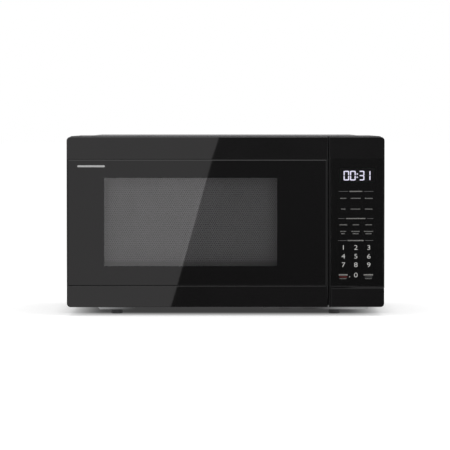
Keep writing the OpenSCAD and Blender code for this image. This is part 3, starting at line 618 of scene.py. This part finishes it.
wheel_outline = [(2.06 * mm, -4 * mm), (5.4 * mm, -4 * mm), (6 * mm, -3.5 * mm),
    (6 * mm, -3 * mm), (6.6 * mm, -3 * mm), (wheel_r, -2.4 * mm), (wheel_r, 2.4 * mm),
    (6.6 * mm, 3 * mm), (6 * mm, 3 * mm), (6 * mm, 3.5 * mm), (5.4 * mm, 4 * mm), (2.06 * mm, 4 * mm)]
hub = Vector((tray_x, tray_y, axle_z))
ring_parts = [turned(ring_outline, steps=128, at=hub)]
for number in range(3):
    angle = math.radians(120 * number)
    outward = Vector((math.cos(angle), math.sin(angle), 0))
    ring_parts.append(turned(axle_outline, steps=24, axis=outward, at=hub))
    wheel = turned(wheel_outline, steps=48, axis=outward, at=hub + outward * track_r)
    place_piece(f"ring_wheel_{number + 1}", wheel, white_plastic, f"roller_{number + 1}",
        [f"roller_{number + 1}"])
place_piece("wheel_ring", join(*ring_parts), white_plastic, "roller_ring",
    ["roller_ring"])


# ---- Magnetron, transformer, capacitor and diode ----
# The magnetron's finned aluminium core and ferrite rings in a zinc yoke, the transformer's steel
# laminations with two copper windings, and an aluminium-can capacitor in its clamp.
def cast_metal(name, light, dark, rough, stretch):
    s = Surface(name)
    drawn = s.cloud(0.0015, 3.0, stretch)
    dulled = s.cloud(0.015, 3.0)
    return s.finish(s.mix(dulled * 0.6 + drawn * 0.4, dark, light), rough + 0.2 * dulled,
        metal=0.9, normal=s.relief(drawn, 0.00003))


def laminated_steel(name):
    s = Surface(name)
    across = s.parts(s.place())[1]
    sheet_pitch = 0.0005
    lines = s.step((across * (2 * math.pi / sheet_pitch)).maths("SINE"), -0.2, 0.9)
    rust = s.cloud(0.010, 5.0)
    steel = s.mix(lines, (0.10, 0.10, 0.105, 1), (0.24, 0.24, 0.25, 1))
    colour = s.mix(s.step(rust, 0.72, 0.95) * 0.7, steel, (0.22, 0.10, 0.045, 1))
    return s.finish(colour, 0.42 + 0.2 * rust, metal=0.6, normal=s.relief(lines, 0.00006))


def copper_winding():
    s = Surface("copper_winding")
    height = s.parts(s.place())[2]
    wire = 0.0011
    round_wire = s.step((height * (2 * math.pi / wire)).maths("SINE"), -0.9, 0.9)
    varnish = s.cloud(0.02, 3.0)
    colour = s.mix(round_wire * 0.6 + varnish * 0.4, (0.20, 0.055, 0.02, 1), (0.62, 0.24, 0.10, 1))
    return s.finish(colour, 0.24 + 0.14 * varnish, metal=0.75, normal=s.relief(round_wire, 0.0003),
        Coat_Weight=0.4, Coat_Roughness=0.2)


def ferrite():
    s = Surface("black_ferrite")
    grains = s.cloud(0.0015, 4.0)
    chips = s.step(s.cloud(0.006, 4.0), 0.75, 0.9)
    colour = s.mix(grains, (0.035, 0.034, 0.034, 1), (0.075, 0.073, 0.072, 1))
    return s.finish(s.mix(chips, colour, (0.12, 0.115, 0.11, 1)), 0.55 + 0.2 * grains, metal=0.2,
        normal=s.relief(grains, 0.00008))


dress(cast_metal("soft_aluminium", (0.80, 0.80, 0.81, 1), (0.55, 0.55, 0.57, 1), 0.30,
    (1, 1, 6)), "magnetron_core", "hv_capacitor")
dress(ferrite(), "magnetron_magnets")
dress(cast_metal("antenna_bright_steel", (0.72, 0.70, 0.66, 1), (0.48, 0.46, 0.43, 1), 0.22,
    (6, 1, 1)), "magnetron_antenna")
dress(rolled_zinc, "magnetron_yoke")
steel_laminations = laminated_steel("steel_laminations")
dress(steel_laminations, "transformer_core")
dress(copper_winding(), "transformer_coils")
bracket_zinc = zinc_sheet("bracket_zinc", (0.66, 0.65, 0.60, 1), (0.44, 0.43, 0.40, 1))
dress(bracket_zinc, "capacitor_clamp")
dress(black_nylon, "hv_diode")


# ---- Boards: mains filter and control board ----
# Green glass-fibre boards with tinned tracks under solder resist and dark moulded parts on
# them, picked out by height above the board.
def circuit_board(name, normal_axis, top):
    """`top` is where the board's own face ends and its parts begin, along the normal axis."""
    s = Surface(name)
    spots = s.parts(s.place())
    weave = s.cloud(0.0012, 1.0)
    tracks = s.step(s.add("ShaderNodeTexBrick", {"offset": 0.35}, {"Vector": s.place(),
        "Scale": 60.0, "Mortar Size": 0.012, "Color1": (1, 1, 1, 1), "Color2": (0.8, 0.8, 0.8, 1),
        "Mortar": (0, 0, 0, 1)}, out="Fac"), 0.2, 0.8)
    resist = s.mix(weave, (0.006, 0.075, 0.030, 1), (0.012, 0.13, 0.05, 1))
    board = s.mix(tracks, resist, (0.03, 0.22, 0.09, 1))
    parts = s.step(spots[normal_axis], top, top + 0.0002)
    shade = s.mix(s.cloud(0.012, 1.0), (0.02, 0.02, 0.022, 1), (0.09, 0.085, 0.08, 1))
    return s.finish(s.mix(parts, board, shade), 0.30 + 0.2 * weave,
        normal=s.relief(tracks + weave * 0.3, 0.00004))


board_t = 1.7 * mm
filter_board_top = 8 * mm
board_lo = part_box("control_board")[0]
dress(circuit_board("control_board_green", 1, board_lo.y + board_t), "control_board")
filter_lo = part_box("noise_filter")[0]
dress(circuit_board("filter_board_green", 2, filter_lo.z + filter_board_top), "noise_filter")


# ---- Cooling fan and air duct ----
# A dark moulded shroud with a shaded-pole motor and a black duct; the rotor is one moulding with
# seven thin blades set at an angle on a round hub, on a steel shaft.
def joint_facts(name):
    """What the record says of one joint."""
    return next(j for j in frame["record"]["behaviour"]["joints"] if j["name"] == name)


fan_dark = moulding("fan_dark_moulding", (0.055, 0.055, 0.058), 0.44)
dress(fan_dark, "fan_shroud")
dress(steel_laminations, "fan_motor")
dress(black_nylon, "air_duct")
fan_lo, fan_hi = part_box("fan_blade")
fan_centre = Vector(joint_facts("fan_spin")["pos_m"])
hub_depth = 18 * mm
hub_front = fan_hi.y - hub_depth
hub_r = 11 * mm
blade_root = 9.5 * mm
blade_r = 45.4 * mm
blade_root_w, blade_added_w = 13 * mm, 9 * mm
blade_camber = 1.6 * mm
blade_t = 1.2 * mm
blade_count = 7
blade_pitch = math.radians(32)
hub_outline = [(4 * mm, 14 * mm), (4 * mm, hub_depth), (9.6 * mm, hub_depth), (10.6 * mm, 17.4 * mm),
    (hub_r, 16.2 * mm), (hub_r, 1.6 * mm), (10.4 * mm, 0.5 * mm), (9.2 * mm, 0), (2 * mm, 0),
    (2 * mm, fan_lo.y - hub_front), (0, fan_lo.y - hub_front), (0, 14 * mm)]
hub_spot = (fan_centre.x, hub_front, fan_centre.z)
rotor_parts = [turned(hub_outline, steps=48, axis=(0, 1, 0), at=hub_spot)]
for number in range(blade_count):
    blade = bmesh.new()
    bmesh.ops.create_grid(blade, x_segments=8, y_segments=10, size=0.5)
    for vert in blade.verts:
        across, outward = vert.co.x, vert.co.y + 0.5
        reach = blade_root + outward * (blade_r - blade_root)
        width = blade_root_w + blade_added_w * math.sin(math.pi * min(1.0, outward * 1.1) / 2)
        pitch = blade_pitch * (1.15 - 0.35 * outward)
        camber = blade_camber * (1 - 4 * across * across)
        side = across * width
        lean = 0.10 * side * (1 if outward > 0.9 else 0)
        vert.co = (side * math.cos(pitch), -side * math.sin(pitch) + camber, reach - abs(lean))
    bmesh.ops.solidify(blade, geom=blade.faces, thickness=blade_t)
    bmesh.ops.recalc_face_normals(blade, faces=blade.faces)
    swing = Matrix.Rotation(2 * math.pi * number / blade_count, 4, "Y")
    spot = Matrix.Translation((fan_centre.x, hub_front + hub_depth / 2, fan_centre.z))
    bmesh.ops.transform(blade, matrix=spot @ swing, verts=blade.verts)
    rotor_parts.append(blade)
place_piece("fan_rotor", join(*rotor_parts), fan_dark, "fan", ["fan_blade"])


# ---- Latch: board, switches, lever, latch head and spring ----
# An ivory moulded board holds three black switches, two of them with red plungers. A white lever
# on a plated pin lifts the door's white latch head, and a bright wire spring returns it.
dress(ivory, "latch_board")
dress(black_nylon, "interlock_switches")
dress(white_plastic, "latch_head", "release_lever")
dress(bright_steel("lever_pin_steel", (0.70, 0.70, 0.71, 1), 0.22), "lever_pin")
dress(moulding("red_moulding", (0.42, 0.03, 0.025), 0.36), "switch_plungers")
spring_wire = bright_steel("spring_wire", (0.58, 0.57, 0.55, 1), 0.24)
dress(spring_wire, "latch_spring")


# ---- Control panel housing ----
# The fixed right-hand end of the front: a gloss black moulding with a recess for the glass
# cover and an open bottom where the door button sits. Its front edges are lightly rounded.
def gloss_black(name, colour, rough=0.02):
    """Piano-black moulding: deep gloss, faint swirl marks and a slightly hazy flow."""
    s = Surface(name)
    flow = s.cloud(0.08, 2.0)
    swirl = s.step(s.cloud(0.0012, 3.0, (1, 1, 0.12)), 0.7, 1.0)
    return s.finish(s.mix(flow, colour + (1,), tinted(colour, 1.25)), rough + 0.012 * swirl)


def from_cad(node):
    """A clean copy of a CAD node's shape, with its flat faces whole."""
    shape = merged_copy(node)
    bmesh.ops.dissolve_limit(shape, angle_limit=math.radians(0.5), verts=shape.verts,
        edges=shape.edges, use_dissolve_boundaries=False)
    return shape


def in_plane(edge, y):
    """Whether an edge lies in the upright plane at that y."""
    return all(abs(v.co.y - y) < 0.00003 for v in edge.verts)


def inside(edge, low_x, high_x, low_z, high_z):
    """Whether an edge lies inside a rectangle of the front."""
    return all(low_x < v.co.x < high_x and low_z < v.co.z < high_z for v in edge.verts)


band_black = gloss_black("band_black", (0.0042, 0.0040, 0.0042))
cover_lo, cover_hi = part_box("panel_overlay")
housing = from_cad("panel_housing")
pane_room = (cover_lo.x - 1 * mm, cover_hi.x + 1 * mm, cover_lo.z - 1 * mm, cover_hi.z + 1.5 * mm)
round_edges(housing, lambda e: in_plane(e, face_y) and not inside(e, *pane_room)
    and max(v.co.z for v in e.verts) > cover_lo.z - 1 * mm, 0.8 * mm)
round_edges(housing, lambda e: in_plane(e, face_y) and inside(e, *pane_room)
    and e.calc_face_angle(0) > 1, 0.35 * mm)
place_piece("panel_moulding", housing, band_black, "root", ["panel_housing"])


# ---- Panel cover, printing and clock ----
# A pane of smoked glass with a ground edge over the black housing. Keys are touch fields
# printed on it in fine pale ink; the clock is a lit module behind the pane.
def smoked_glass(name, tint, reflection=1.40, window=None):
    """Tinted glass. With a window, only that part is clear and the rest is backed with black."""
    s = Surface(name)
    ripple = s.relief(s.cloud(0.15, 1.0), 0.000002)
    through = s.add("ShaderNodeBsdfTransparent", {}, {"Color": tint + (1,)})
    mirror = s.add("ShaderNodeBsdfAnisotropic", {}, {"Color": (1, 1, 1, 1), "Roughness": 0.005,
        "Normal": ripple})
    rate = s.add("ShaderNodeFresnel", {}, {"IOR": reflection})
    shader = s.add("ShaderNodeMixShader", {}, {0: rate, 1: through, 2: mirror})
    if window:
        x, _, z = s.parts(s.place())
        soft = 0.15 * mm
        clear = 1.0
        for along, low, high in ((x, window[0].x, window[1].x), (z, window[0].z, window[1].z)):
            clear = s.step(along, low - soft, low + soft) * clear
            clear = s.step(along, high - soft, high + soft, 1.0, 0.0) * clear
        smears = s.cloud(0.05, 4.0, (1, 1, 2))
        backed = s.add("ShaderNodeBsdfPrincipled", {}, {"Base Color": (0.0036, 0.0034, 0.0036, 1),
            "Roughness": 0.015 + 0.012 * smears, "IOR": 1.48, "Normal": ripple})
        shader = s.add("ShaderNodeMixShader", {}, {0: clear, 1: backed, 2: shader})
    return s.done(shader)


smoke = (0.775, 0.772, 0.776)
pane = from_cad("panel_overlay")
round_edges(pane, lambda e: in_plane(e, cover_lo.y), 0.45 * mm)
place_piece("panel_pane", pane, smoked_glass("panel_smoked_glass", smoke), "root",
    ["panel_overlay"])

ink_t = 0.03 * mm
ink_y = cover_lo.y - ink_t


def ink(name, colour, shine=0.5):
    s = Surface(name)
    screen = s.cloud(0.0004, 2.0)
    wear = s.cloud(0.006, 3.0)
    tone = s.mix(screen * 0.5 + wear * 0.5, tinted(colour, 0.8), colour + (1,))
    return s.finish(tone, 0.5 + 0.1 * screen, normal=s.relief(screen, 0.000005),
        Specular_IOR_Level=shine)


def thicken(shape, way):
    """Gives a flat sheet of faces its thickness."""
    made = bmesh.ops.extrude_face_region(shape, geom=list(shape.faces))["geom"]
    tops = [part for part in made if isinstance(part, bmesh.types.BMVert)]
    bmesh.ops.translate(shape, vec=way, verts=tops)
    bmesh.ops.recalc_face_normals(shape, faces=shape.faces)


def pill(left, right, middle, height, y=ink_y, thick=ink_t, segments=12):
    """A flat rounded bar in the XZ plane."""
    shape = bmesh.new()
    radius = min(height, right - left) / 2
    ring = bmesh.ops.create_circle(shape, cap_ends=True, segments=segments, radius=radius)
    for vert in ring["verts"]:
        vert.co.x += math.copysign(max(0.0, (right - left) / 2 - radius), vert.co.x)
        vert.co.y += math.copysign(max(0.0, height / 2 - radius), vert.co.y)
    thicken(shape, (0, 0, thick))
    turn = Matrix.Rotation(math.pi / 2, 4, "X")
    spot = Matrix.Translation(((left + right) / 2, y + thick, middle))
    bmesh.ops.transform(shape, matrix=spot @ turn, verts=shape.verts)
    return shape


def dash_row(left, right, middle, height, seed, shortest=0.45, longest=0.9, gap=0.5):
    """Plain dashes in the room that a printed word takes, with every size in millimetres."""
    chance = random.Random(seed)
    bars, at = [], left
    while at < right - shortest:
        end = min(right, at + chance.uniform(shortest, longest))
        bars.append(pill(at * mm, end * mm, middle * mm, height * mm))
        at = end + gap
    return bars


def dash_rows(prints, height, first_seed, *dashes):
    """The dashes of several words, each drawn from its own seed."""
    bars = []
    for seed, (left, right, middle) in enumerate(prints, first_seed):
        bars += dash_row(left, right, middle, height, seed, *dashes)
    return bars


def print_on_pane(name, bars, ink_name, colour):
    """One colour of print on the face of the panel's pane."""
    place_piece(name, join(*bars), ink(ink_name, colour), "root")


# Left end, right end and z of each print, in millimetres.
words = [(175, 184, 179.3), (191, 206.4, 179.3), (212.6, 224.9, 179.3), (176.4, 183, 162.9),
    (191, 206, 162.9), (212.7, 224, 162.9), (174, 185.4, 138.9), (194.2, 203.8, 138.9),
    (213.3, 223.5, 138.9), (175, 183.7, 128.8), (192, 205, 128.8), (211.3, 224.9, 128.8),
    (176.5, 182.5, 125.3), (194, 203, 125.3), (213.5, 222.5, 125.3)]
headings = [(189.2, 208.2, 189.9), (184, 213.3, 148.5), (186.4, 211, 114.9)]
footers = [(173, 186, 62.5), (211, 225.6, 62.5)]
small_print = [(174.4, 184.3, 56.7), (213, 223.6, 56.7)]
rules = [(172.4, 186.6, 189.9), (211.3, 225.5, 189.9), (171.8, 181.5, 148.5), (216, 225.5, 148.5),
    (171.9, 184.7, 114.9), (213, 225.3, 114.9)]
label_h, small_h, heading_h, footer_h = 1.5, 1.2, 1.7, 2.2
rule_h, key_rule_h = 0.55 * mm, 0.6 * mm
key_rule_z = 59.3 * mm
label_bars = dash_rows(words, label_h, 0) + dash_rows(small_print, small_h, 40)
print_on_pane("key_labels", label_bars, "label_ink", (0.24, 0.24, 0.23))
heading_bars = dash_rows(headings, heading_h, 20, 0.5, 1.0, 0.6)
heading_bars += dash_rows(footers, footer_h, 30, 0.8, 1.3, 0.48)
print_on_pane("heading_labels", heading_bars, "heading_ink", (0.33, 0.325, 0.31))
rule_bars = [pill(left * mm, right * mm, middle * mm, rule_h) for left, right, middle in rules]
rule_bars.append(pill(212.5 * mm, 224.1 * mm, key_rule_z, key_rule_h))
print_on_pane("panel_rules", rule_bars, "rule_ink", (0.13, 0.13, 0.13))
stop_mark = pill(173.4 * mm, 185.4 * mm, key_rule_z, key_rule_h)
print_on_pane("stop_rule", [stop_mark], "red_ink", (0.30, 0.03, 0.025))

numeral_h = 7.2 * mm
figure_share = 0.70
numeral_thinning = 0.14 * mm
numeral_spread = 1.22
columns = (179.7 * mm, 198.8 * mm, 218.6 * mm)
numerals = [(str(1 + column + 3 * row), columns[column], z * mm)
    for row, z in enumerate((104.3, 90.9, 77.9)) for column in range(3)]
numerals.append(("0", columns[1], 62.2 * mm))
numeral_parts = []
for digit, x, z in numerals:
    curve = bpy.data.curves.new("numeral", "FONT")
    curve.body = digit
    curve.align_x = "CENTER"
    curve.resolution_u = 4
    curve.size = numeral_h / figure_share
    curve.extrude = ink_t / 2
    curve.offset = -numeral_thinning
    holder = put("numeral", curve)
    bpy.context.view_layer.update()
    as_shown = holder.evaluated_get(bpy.context.evaluated_depsgraph_get())
    flat = bpy.data.meshes.new_from_object(as_shown)
    bpy.data.objects.remove(holder)
    shape = bmesh.new()
    shape.from_mesh(flat)
    bmesh.ops.remove_doubles(shape, verts=shape.verts, dist=1e-7)
    low = min(v.co.y for v in shape.verts)
    high = max(v.co.y for v in shape.verts)
    turn = Matrix.Rotation(math.pi / 2, 4, "X")
    spot = Matrix.Translation((x, cover_lo.y - ink_t / 2, z - (low + high) / 2))
    wide = Matrix.Diagonal((numeral_spread, 1, 1, 1))
    bmesh.ops.transform(shape, matrix=spot @ turn @ wide, verts=shape.verts)
    numeral_parts.append(shape)
numeral_parts.append(pill(188.7 * mm, 189.9 * mm, 59.4 * mm, 1.2 * mm))
print_on_pane("key_numerals", numeral_parts, "numeral_ink", (0.66, 0.66, 0.64))


def lit(name, colour, strength):
    s = Surface(name)
    glow = s.cloud(0.003, 1.0)
    return s.done(s.add("ShaderNodeBsdfPrincipled", {}, {"Base Color": (0.3, 0.3, 0.32, 1),
        "Roughness": 0.4 + 0.1 * glow, "Emission Strength": strength,
        "Emission Color": s.mix(glow, tinted(colour, 0.93), colour + (1,))}))


display_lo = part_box("display_module")[0]
digit_h, digit_w, stroke = 14.8 * mm, 8.6 * mm, 1.75 * mm
clock_bottom = 206.5 * mm
bar_gap = 0.35 * mm
bar_y, bar_t = display_lo.y - 0.06 * mm, 0.05 * mm
dot_left, dot_w = 199.7 * mm, 2.2 * mm


def digit_bars(left, names):
    """Bars of a seven-bar figure: a is the top one, then clockwise, g is the middle one."""
    half = digit_h / 2
    edge = stroke / 2
    across = {"a": digit_h - edge, "g": half, "d": edge}
    upright = {"b": (digit_w - edge, half), "c": (digit_w - edge, 0), "e": (edge, 0), "f": (edge, half)}
    bars = []
    for name in names:
        if name in across:
            bars.append(pill(left + edge + bar_gap, left + digit_w - edge - bar_gap,
                clock_bottom + across[name], stroke, bar_y, bar_t))
        else:
            x, z = upright[name]
            bars.append(pill(left + x - edge, left + x + edge, clock_bottom + z + half / 2,
                half - 2 * bar_gap, bar_y, bar_t))
    return bars


clock = [(180.0, "abcdef"), (189.9, "abcdef"), (203.2, "abcdg"), (212.5, "bc")]
lit_bars, dark_bars = [], []
for left, names in clock:
    lit_bars += digit_bars(left * mm, names)
    dark_bars += digit_bars(left * mm, [n for n in "abcdefg" if n not in names])
for z in (211.4 * mm, 216.4 * mm):
    lit_bars.append(pill(dot_left, dot_left + dot_w, z, dot_w, bar_y, bar_t))
place_piece("clock_figures", join(*lit_bars), lit("clock_light", (0.82, 0.80, 0.98), 1.7), "root")
place_piece("clock_unlit_bars", join(*dark_bars), moulding("unlit_bars", (0.05, 0.05, 0.055), 0.5),
    "root")
dress(moulding("display_black", (0.006, 0.006, 0.007), 0.35), "display_module")


# ---- Door button ----
# A wide hollow key moulded in the same gloss black as the bands and flush with them. A stem
# behind it reaches the release lever.
key = from_cad("release_button")
round_edges(key, lambda e: in_plane(e, face_y), 0.6 * mm)
place_piece("door_button", key, band_black, "release_button", ["release_button"])


# ---- Button return spring ----
# A coil of hard bright wire between the button and the housing.
coil_lo, coil_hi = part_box("button_spring")
coil_length = coil_hi.y - coil_lo.y
button_travel = joint_facts("button_press")["range_m"][1]
return_spring = place_piece("button_return_spring", merged_copy("button_spring"), spring_wire,
    "root", ["button_spring"])
for modifier in list(return_spring.modifiers):
    return_spring.modifiers.remove(modifier)
(coil_length - button_travel) / coil_length
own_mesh(return_spring)


# ---- Hinge plates ----
# Two plates of zinc-coated steel, one below and one above the door's left edge, each with the
# pin that the door swings on.
dress(bracket_zinc, "hinge_lower", "hinge_upper")


# ---- Door frame ----
# The moulded surround of the door, gloss black with softly rounded front edges and a shallow
# seat for the pane.
door_lo, door_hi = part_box("door_frame")
glass_lo, glass_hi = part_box("door_glass")
surround = from_cad("door_frame")
seat_room = (door_lo.x + 1 * mm, door_hi.x - 1 * mm, glass_lo.z - 1 * mm, glass_hi.z + 1 * mm)
round_edges(surround, lambda e: in_plane(e, face_y) and not inside(e, *seat_room), 0.8 * mm)
round_edges(surround, lambda e: in_plane(e, face_y) and inside(e, *seat_room)
    and e.calc_face_angle(0) > 1, 0.5 * mm)
place_piece("door_surround", surround, band_black, "door", ["door_frame"])


# ---- Door glass and its printed border ----
# A pane of smoked glass with a shallow ground edge, backed with black round the window. A black
# border film lies behind it, and a plain pale bar is printed in the top left corner.
ground_w, ground_depth = 1.2 * mm, 0.7 * mm
door_pane = bmesh.new()
pane_size = Matrix.Diagonal((*(glass_hi - glass_lo), 1))
pane_spot = Matrix.Translation((glass_lo + glass_hi) / 2)
bmesh.ops.create_cube(door_pane, size=1.0, matrix=pane_spot @ pane_size)
front_face = [f for f in door_pane.faces if all(abs(v.co.y - glass_lo.y) < 1e-6 for v in f.verts)]
bmesh.ops.inset_region(door_pane, faces=front_face, thickness=ground_w, use_boundary=True,
    use_even_offset=True)
outer_corners = [v for v in door_pane.verts if abs(v.co.y - glass_lo.y) < 1e-6
    and min(abs(v.co.x - glass_lo.x), abs(v.co.x - glass_hi.x)) < 1e-6]
bmesh.ops.translate(door_pane, vec=(0, ground_depth, 0), verts=outer_corners)
win_lo = Vector((-185.3 * mm, 0, 75.65 * mm))
win_hi = Vector((78.7 * mm, 0, 210.35 * mm))
place_piece("door_pane", door_pane,
    smoked_glass("door_smoked_glass", smoke, 1.60, (win_lo, win_hi)), "door",
    ["door_glass"], smooth=15)

film_lo, film_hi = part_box("door_film")


def rounded_loop(shape, low_x, high_x, low_z, high_z, radius, y, steps=6):
    """A closed rounded rectangle of edges in the XZ plane."""
    verts = []
    corners = [(high_x - radius, high_z - radius, 0), (low_x + radius, high_z - radius, 90),
        (low_x + radius, low_z + radius, 180), (high_x - radius, low_z + radius, 270)]
    for x, z, start in corners:
        for i in range(steps + 1):
            angle = math.radians(start + 90 * i / steps)
            spot = (x + radius * math.cos(angle), y, z + radius * math.sin(angle))
            verts.append(shape.verts.new(spot))
    return [shape.edges.new((a, b)) for a, b in zip(verts, verts[1:] + verts[:1])]


def flat_frame(outer, inner, outer_r, inner_r, y):
    """A sheet without thickness, with a rounded window in it."""
    shape = bmesh.new()
    rims = rounded_loop(shape, *outer, outer_r, y) + rounded_loop(shape, *inner, inner_r, y)
    bmesh.ops.bridge_loops(shape, edges=rims)
    return shape


film_gap = 0.12 * mm
film_corner_r, window_corner_r = 1 * mm, 1.5 * mm
border = flat_frame((film_lo.x, film_hi.x, film_lo.z, film_hi.z),
    (win_lo.x, win_hi.x, win_lo.z, win_hi.z), film_corner_r, window_corner_r, film_lo.y + film_gap)
thicken(border, (0, film_hi.y - film_lo.y - film_gap, 0))
place_piece("glass_border", border, ink("border_black", (0.0035, 0.0032, 0.0034), 0.05), "door",
    ["door_film"])
mark_left, mark_right, mark_z, mark_h = -226.1 * mm, -184.1 * mm, 228.2 * mm, 3.0 * mm
mark = pill(mark_left, mark_right, mark_z, mark_h, glass_lo.y - ink_t, ink_t, segments=24)
place_piece("corner_mark", mark, ink("mark_ink", (0.42, 0.42, 0.42)), "door")


# ---- Perforated screen ----
# Thin steel sheet punched with staggered round holes and painted grey, with a plain strip
# along its edges, spot-welded behind the window.
screen_lo, screen_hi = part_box("door_screen")
hole_pitch = 3.3 * mm
hole_r = 1.0 * mm
row_pitch = 2.9 * mm
sheet_t = screen_hi.y - screen_lo.y
plain_h = 6 * mm
hole_columns = int((win_hi.x - win_lo.x + 2 * mm) / hole_pitch)
hole_rows = int((win_hi.z - win_lo.z - plain_h + 2 * mm) / row_pitch)
net_w = hole_columns * hole_pitch
net_x = (win_lo.x + win_hi.x) / 2 - net_w / 2
net_z = win_lo.z + plain_h


def net_cell(x, z, holes=True, part=1.0):
    """One rectangle of the sheet round a hole, or a plain piece of it."""
    shape = bmesh.new()
    w, h = hole_pitch * part, row_pitch
    outline = [(w / 2, 0), (w / 2, h / 2), (0, h / 2), (-w / 2, h / 2), (-w / 2, 0),
        (-w / 2, -h / 2), (0, -h / 2), (w / 2, -h / 2)]
    outer = [shape.verts.new((x + a, screen_lo.y, z + b)) for a, b in outline]
    if holes:
        inner = [shape.verts.new((x + hole_r * math.cos(a), screen_lo.y, z + hole_r * math.sin(a)))
            for a in [math.radians(45 * i) for i in range(8)]]
        for i in range(8):
            j = (i + 1) % 8
            shape.faces.new((outer[i], inner[i], inner[j], outer[j]))
    else:
        shape.faces.new(outer)
    return shape


def repeat(shape, count, step):
    """Adds copies of the whole shape at even steps."""
    geom = list(shape.verts) + list(shape.edges) + list(shape.faces)
    for i in range(1, count):
        copied = bmesh.ops.duplicate(shape, geom=geom)["geom"]
        verts = [part for part in copied if isinstance(part, bmesh.types.BMVert)]
        bmesh.ops.translate(shape, vec=Vector(step) * i, verts=verts)


def net_row(z, offset):
    """A row of holes; an offset row has plain half pieces at its ends."""
    row = net_cell(net_x + hole_pitch * (0.5 + offset), z)
    count = hole_columns - (1 if offset else 0)
    repeat(row, count, (hole_pitch, 0, 0))
    if not offset:
        return row
    ends = [net_cell(net_x + hole_pitch * 0.25, z, False, 0.5),
        net_cell(net_x + net_w - hole_pitch * 0.25, z, False, 0.5)]
    return join(row, *ends)


pair_of_rows = join(net_row(net_z + row_pitch / 2, 0), net_row(net_z + row_pitch * 1.5, 0.5))
pairs = hole_rows // 2
net_h = pairs * 2 * row_pitch
repeat(pair_of_rows, pairs, (0, 0, 2 * row_pitch))
bmesh.ops.remove_doubles(pair_of_rows, verts=pair_of_rows.verts, dist=0.02 * mm)
sheet_corner_r, net_corner_r = 3 * mm, 0.01 * mm
skirt = flat_frame((screen_lo.x, screen_hi.x, screen_lo.z, screen_hi.z),
    (net_x, net_x + net_w, net_z, net_z + net_h), sheet_corner_r, net_corner_r, screen_lo.y)
sheet = join(pair_of_rows, skirt)
bmesh.ops.recalc_face_normals(sheet, faces=sheet.faces)
thicken(sheet, (0, sheet_t, 0))


def screen_paint():
    s = Surface("screen_grey_paint")
    z = s.parts(s.place())[2]
    plain = s.step(z, net_z - 0.2 * mm, net_z + 0.2 * mm, 1.0, 0.0)
    spray = s.cloud(0.0011, 2.0)
    patches = s.cloud(0.05, 3.0)
    tone = s.mix(patches, (0.505, 0.505, 0.507, 1), (0.535, 0.535, 0.537, 1))
    return s.finish(s.mix(plain, tone, (0.34, 0.34, 0.342, 1)), 0.55 + 0.1 * spray,
        normal=s.relief(spray, 0.00002))


place_piece("window_mesh_sheet", sheet, screen_paint(), "door", ["door_screen"])


# ---- Inner window and choke cover ----
# A clear plastic film on the cavity side of the screen, and the black moulded cover that
# closes the choke groove round the door pan.
def clear_film():
    s = Surface("clear_window_film")
    waves = s.cloud(0.03, 3.0)
    through = s.add("ShaderNodeBsdfTransparent", {}, {"Color": (0.93, 0.93, 0.93, 1)})
    gloss = s.add("ShaderNodeBsdfAnisotropic", {}, {"Roughness": 0.09,
        "Normal": s.relief(waves, 0.000001)})
    rate = s.add("ShaderNodeFresnel", {}, {"IOR": 1.45})
    return s.done(s.add("ShaderNodeMixShader", {}, {0: rate, 1: through, 2: gloss}))


dress(clear_film(), "inner_window")
dress(moulding("choke_cover_black", (0.022, 0.022, 0.023), 0.34, node="choke_cover"), "choke_cover")
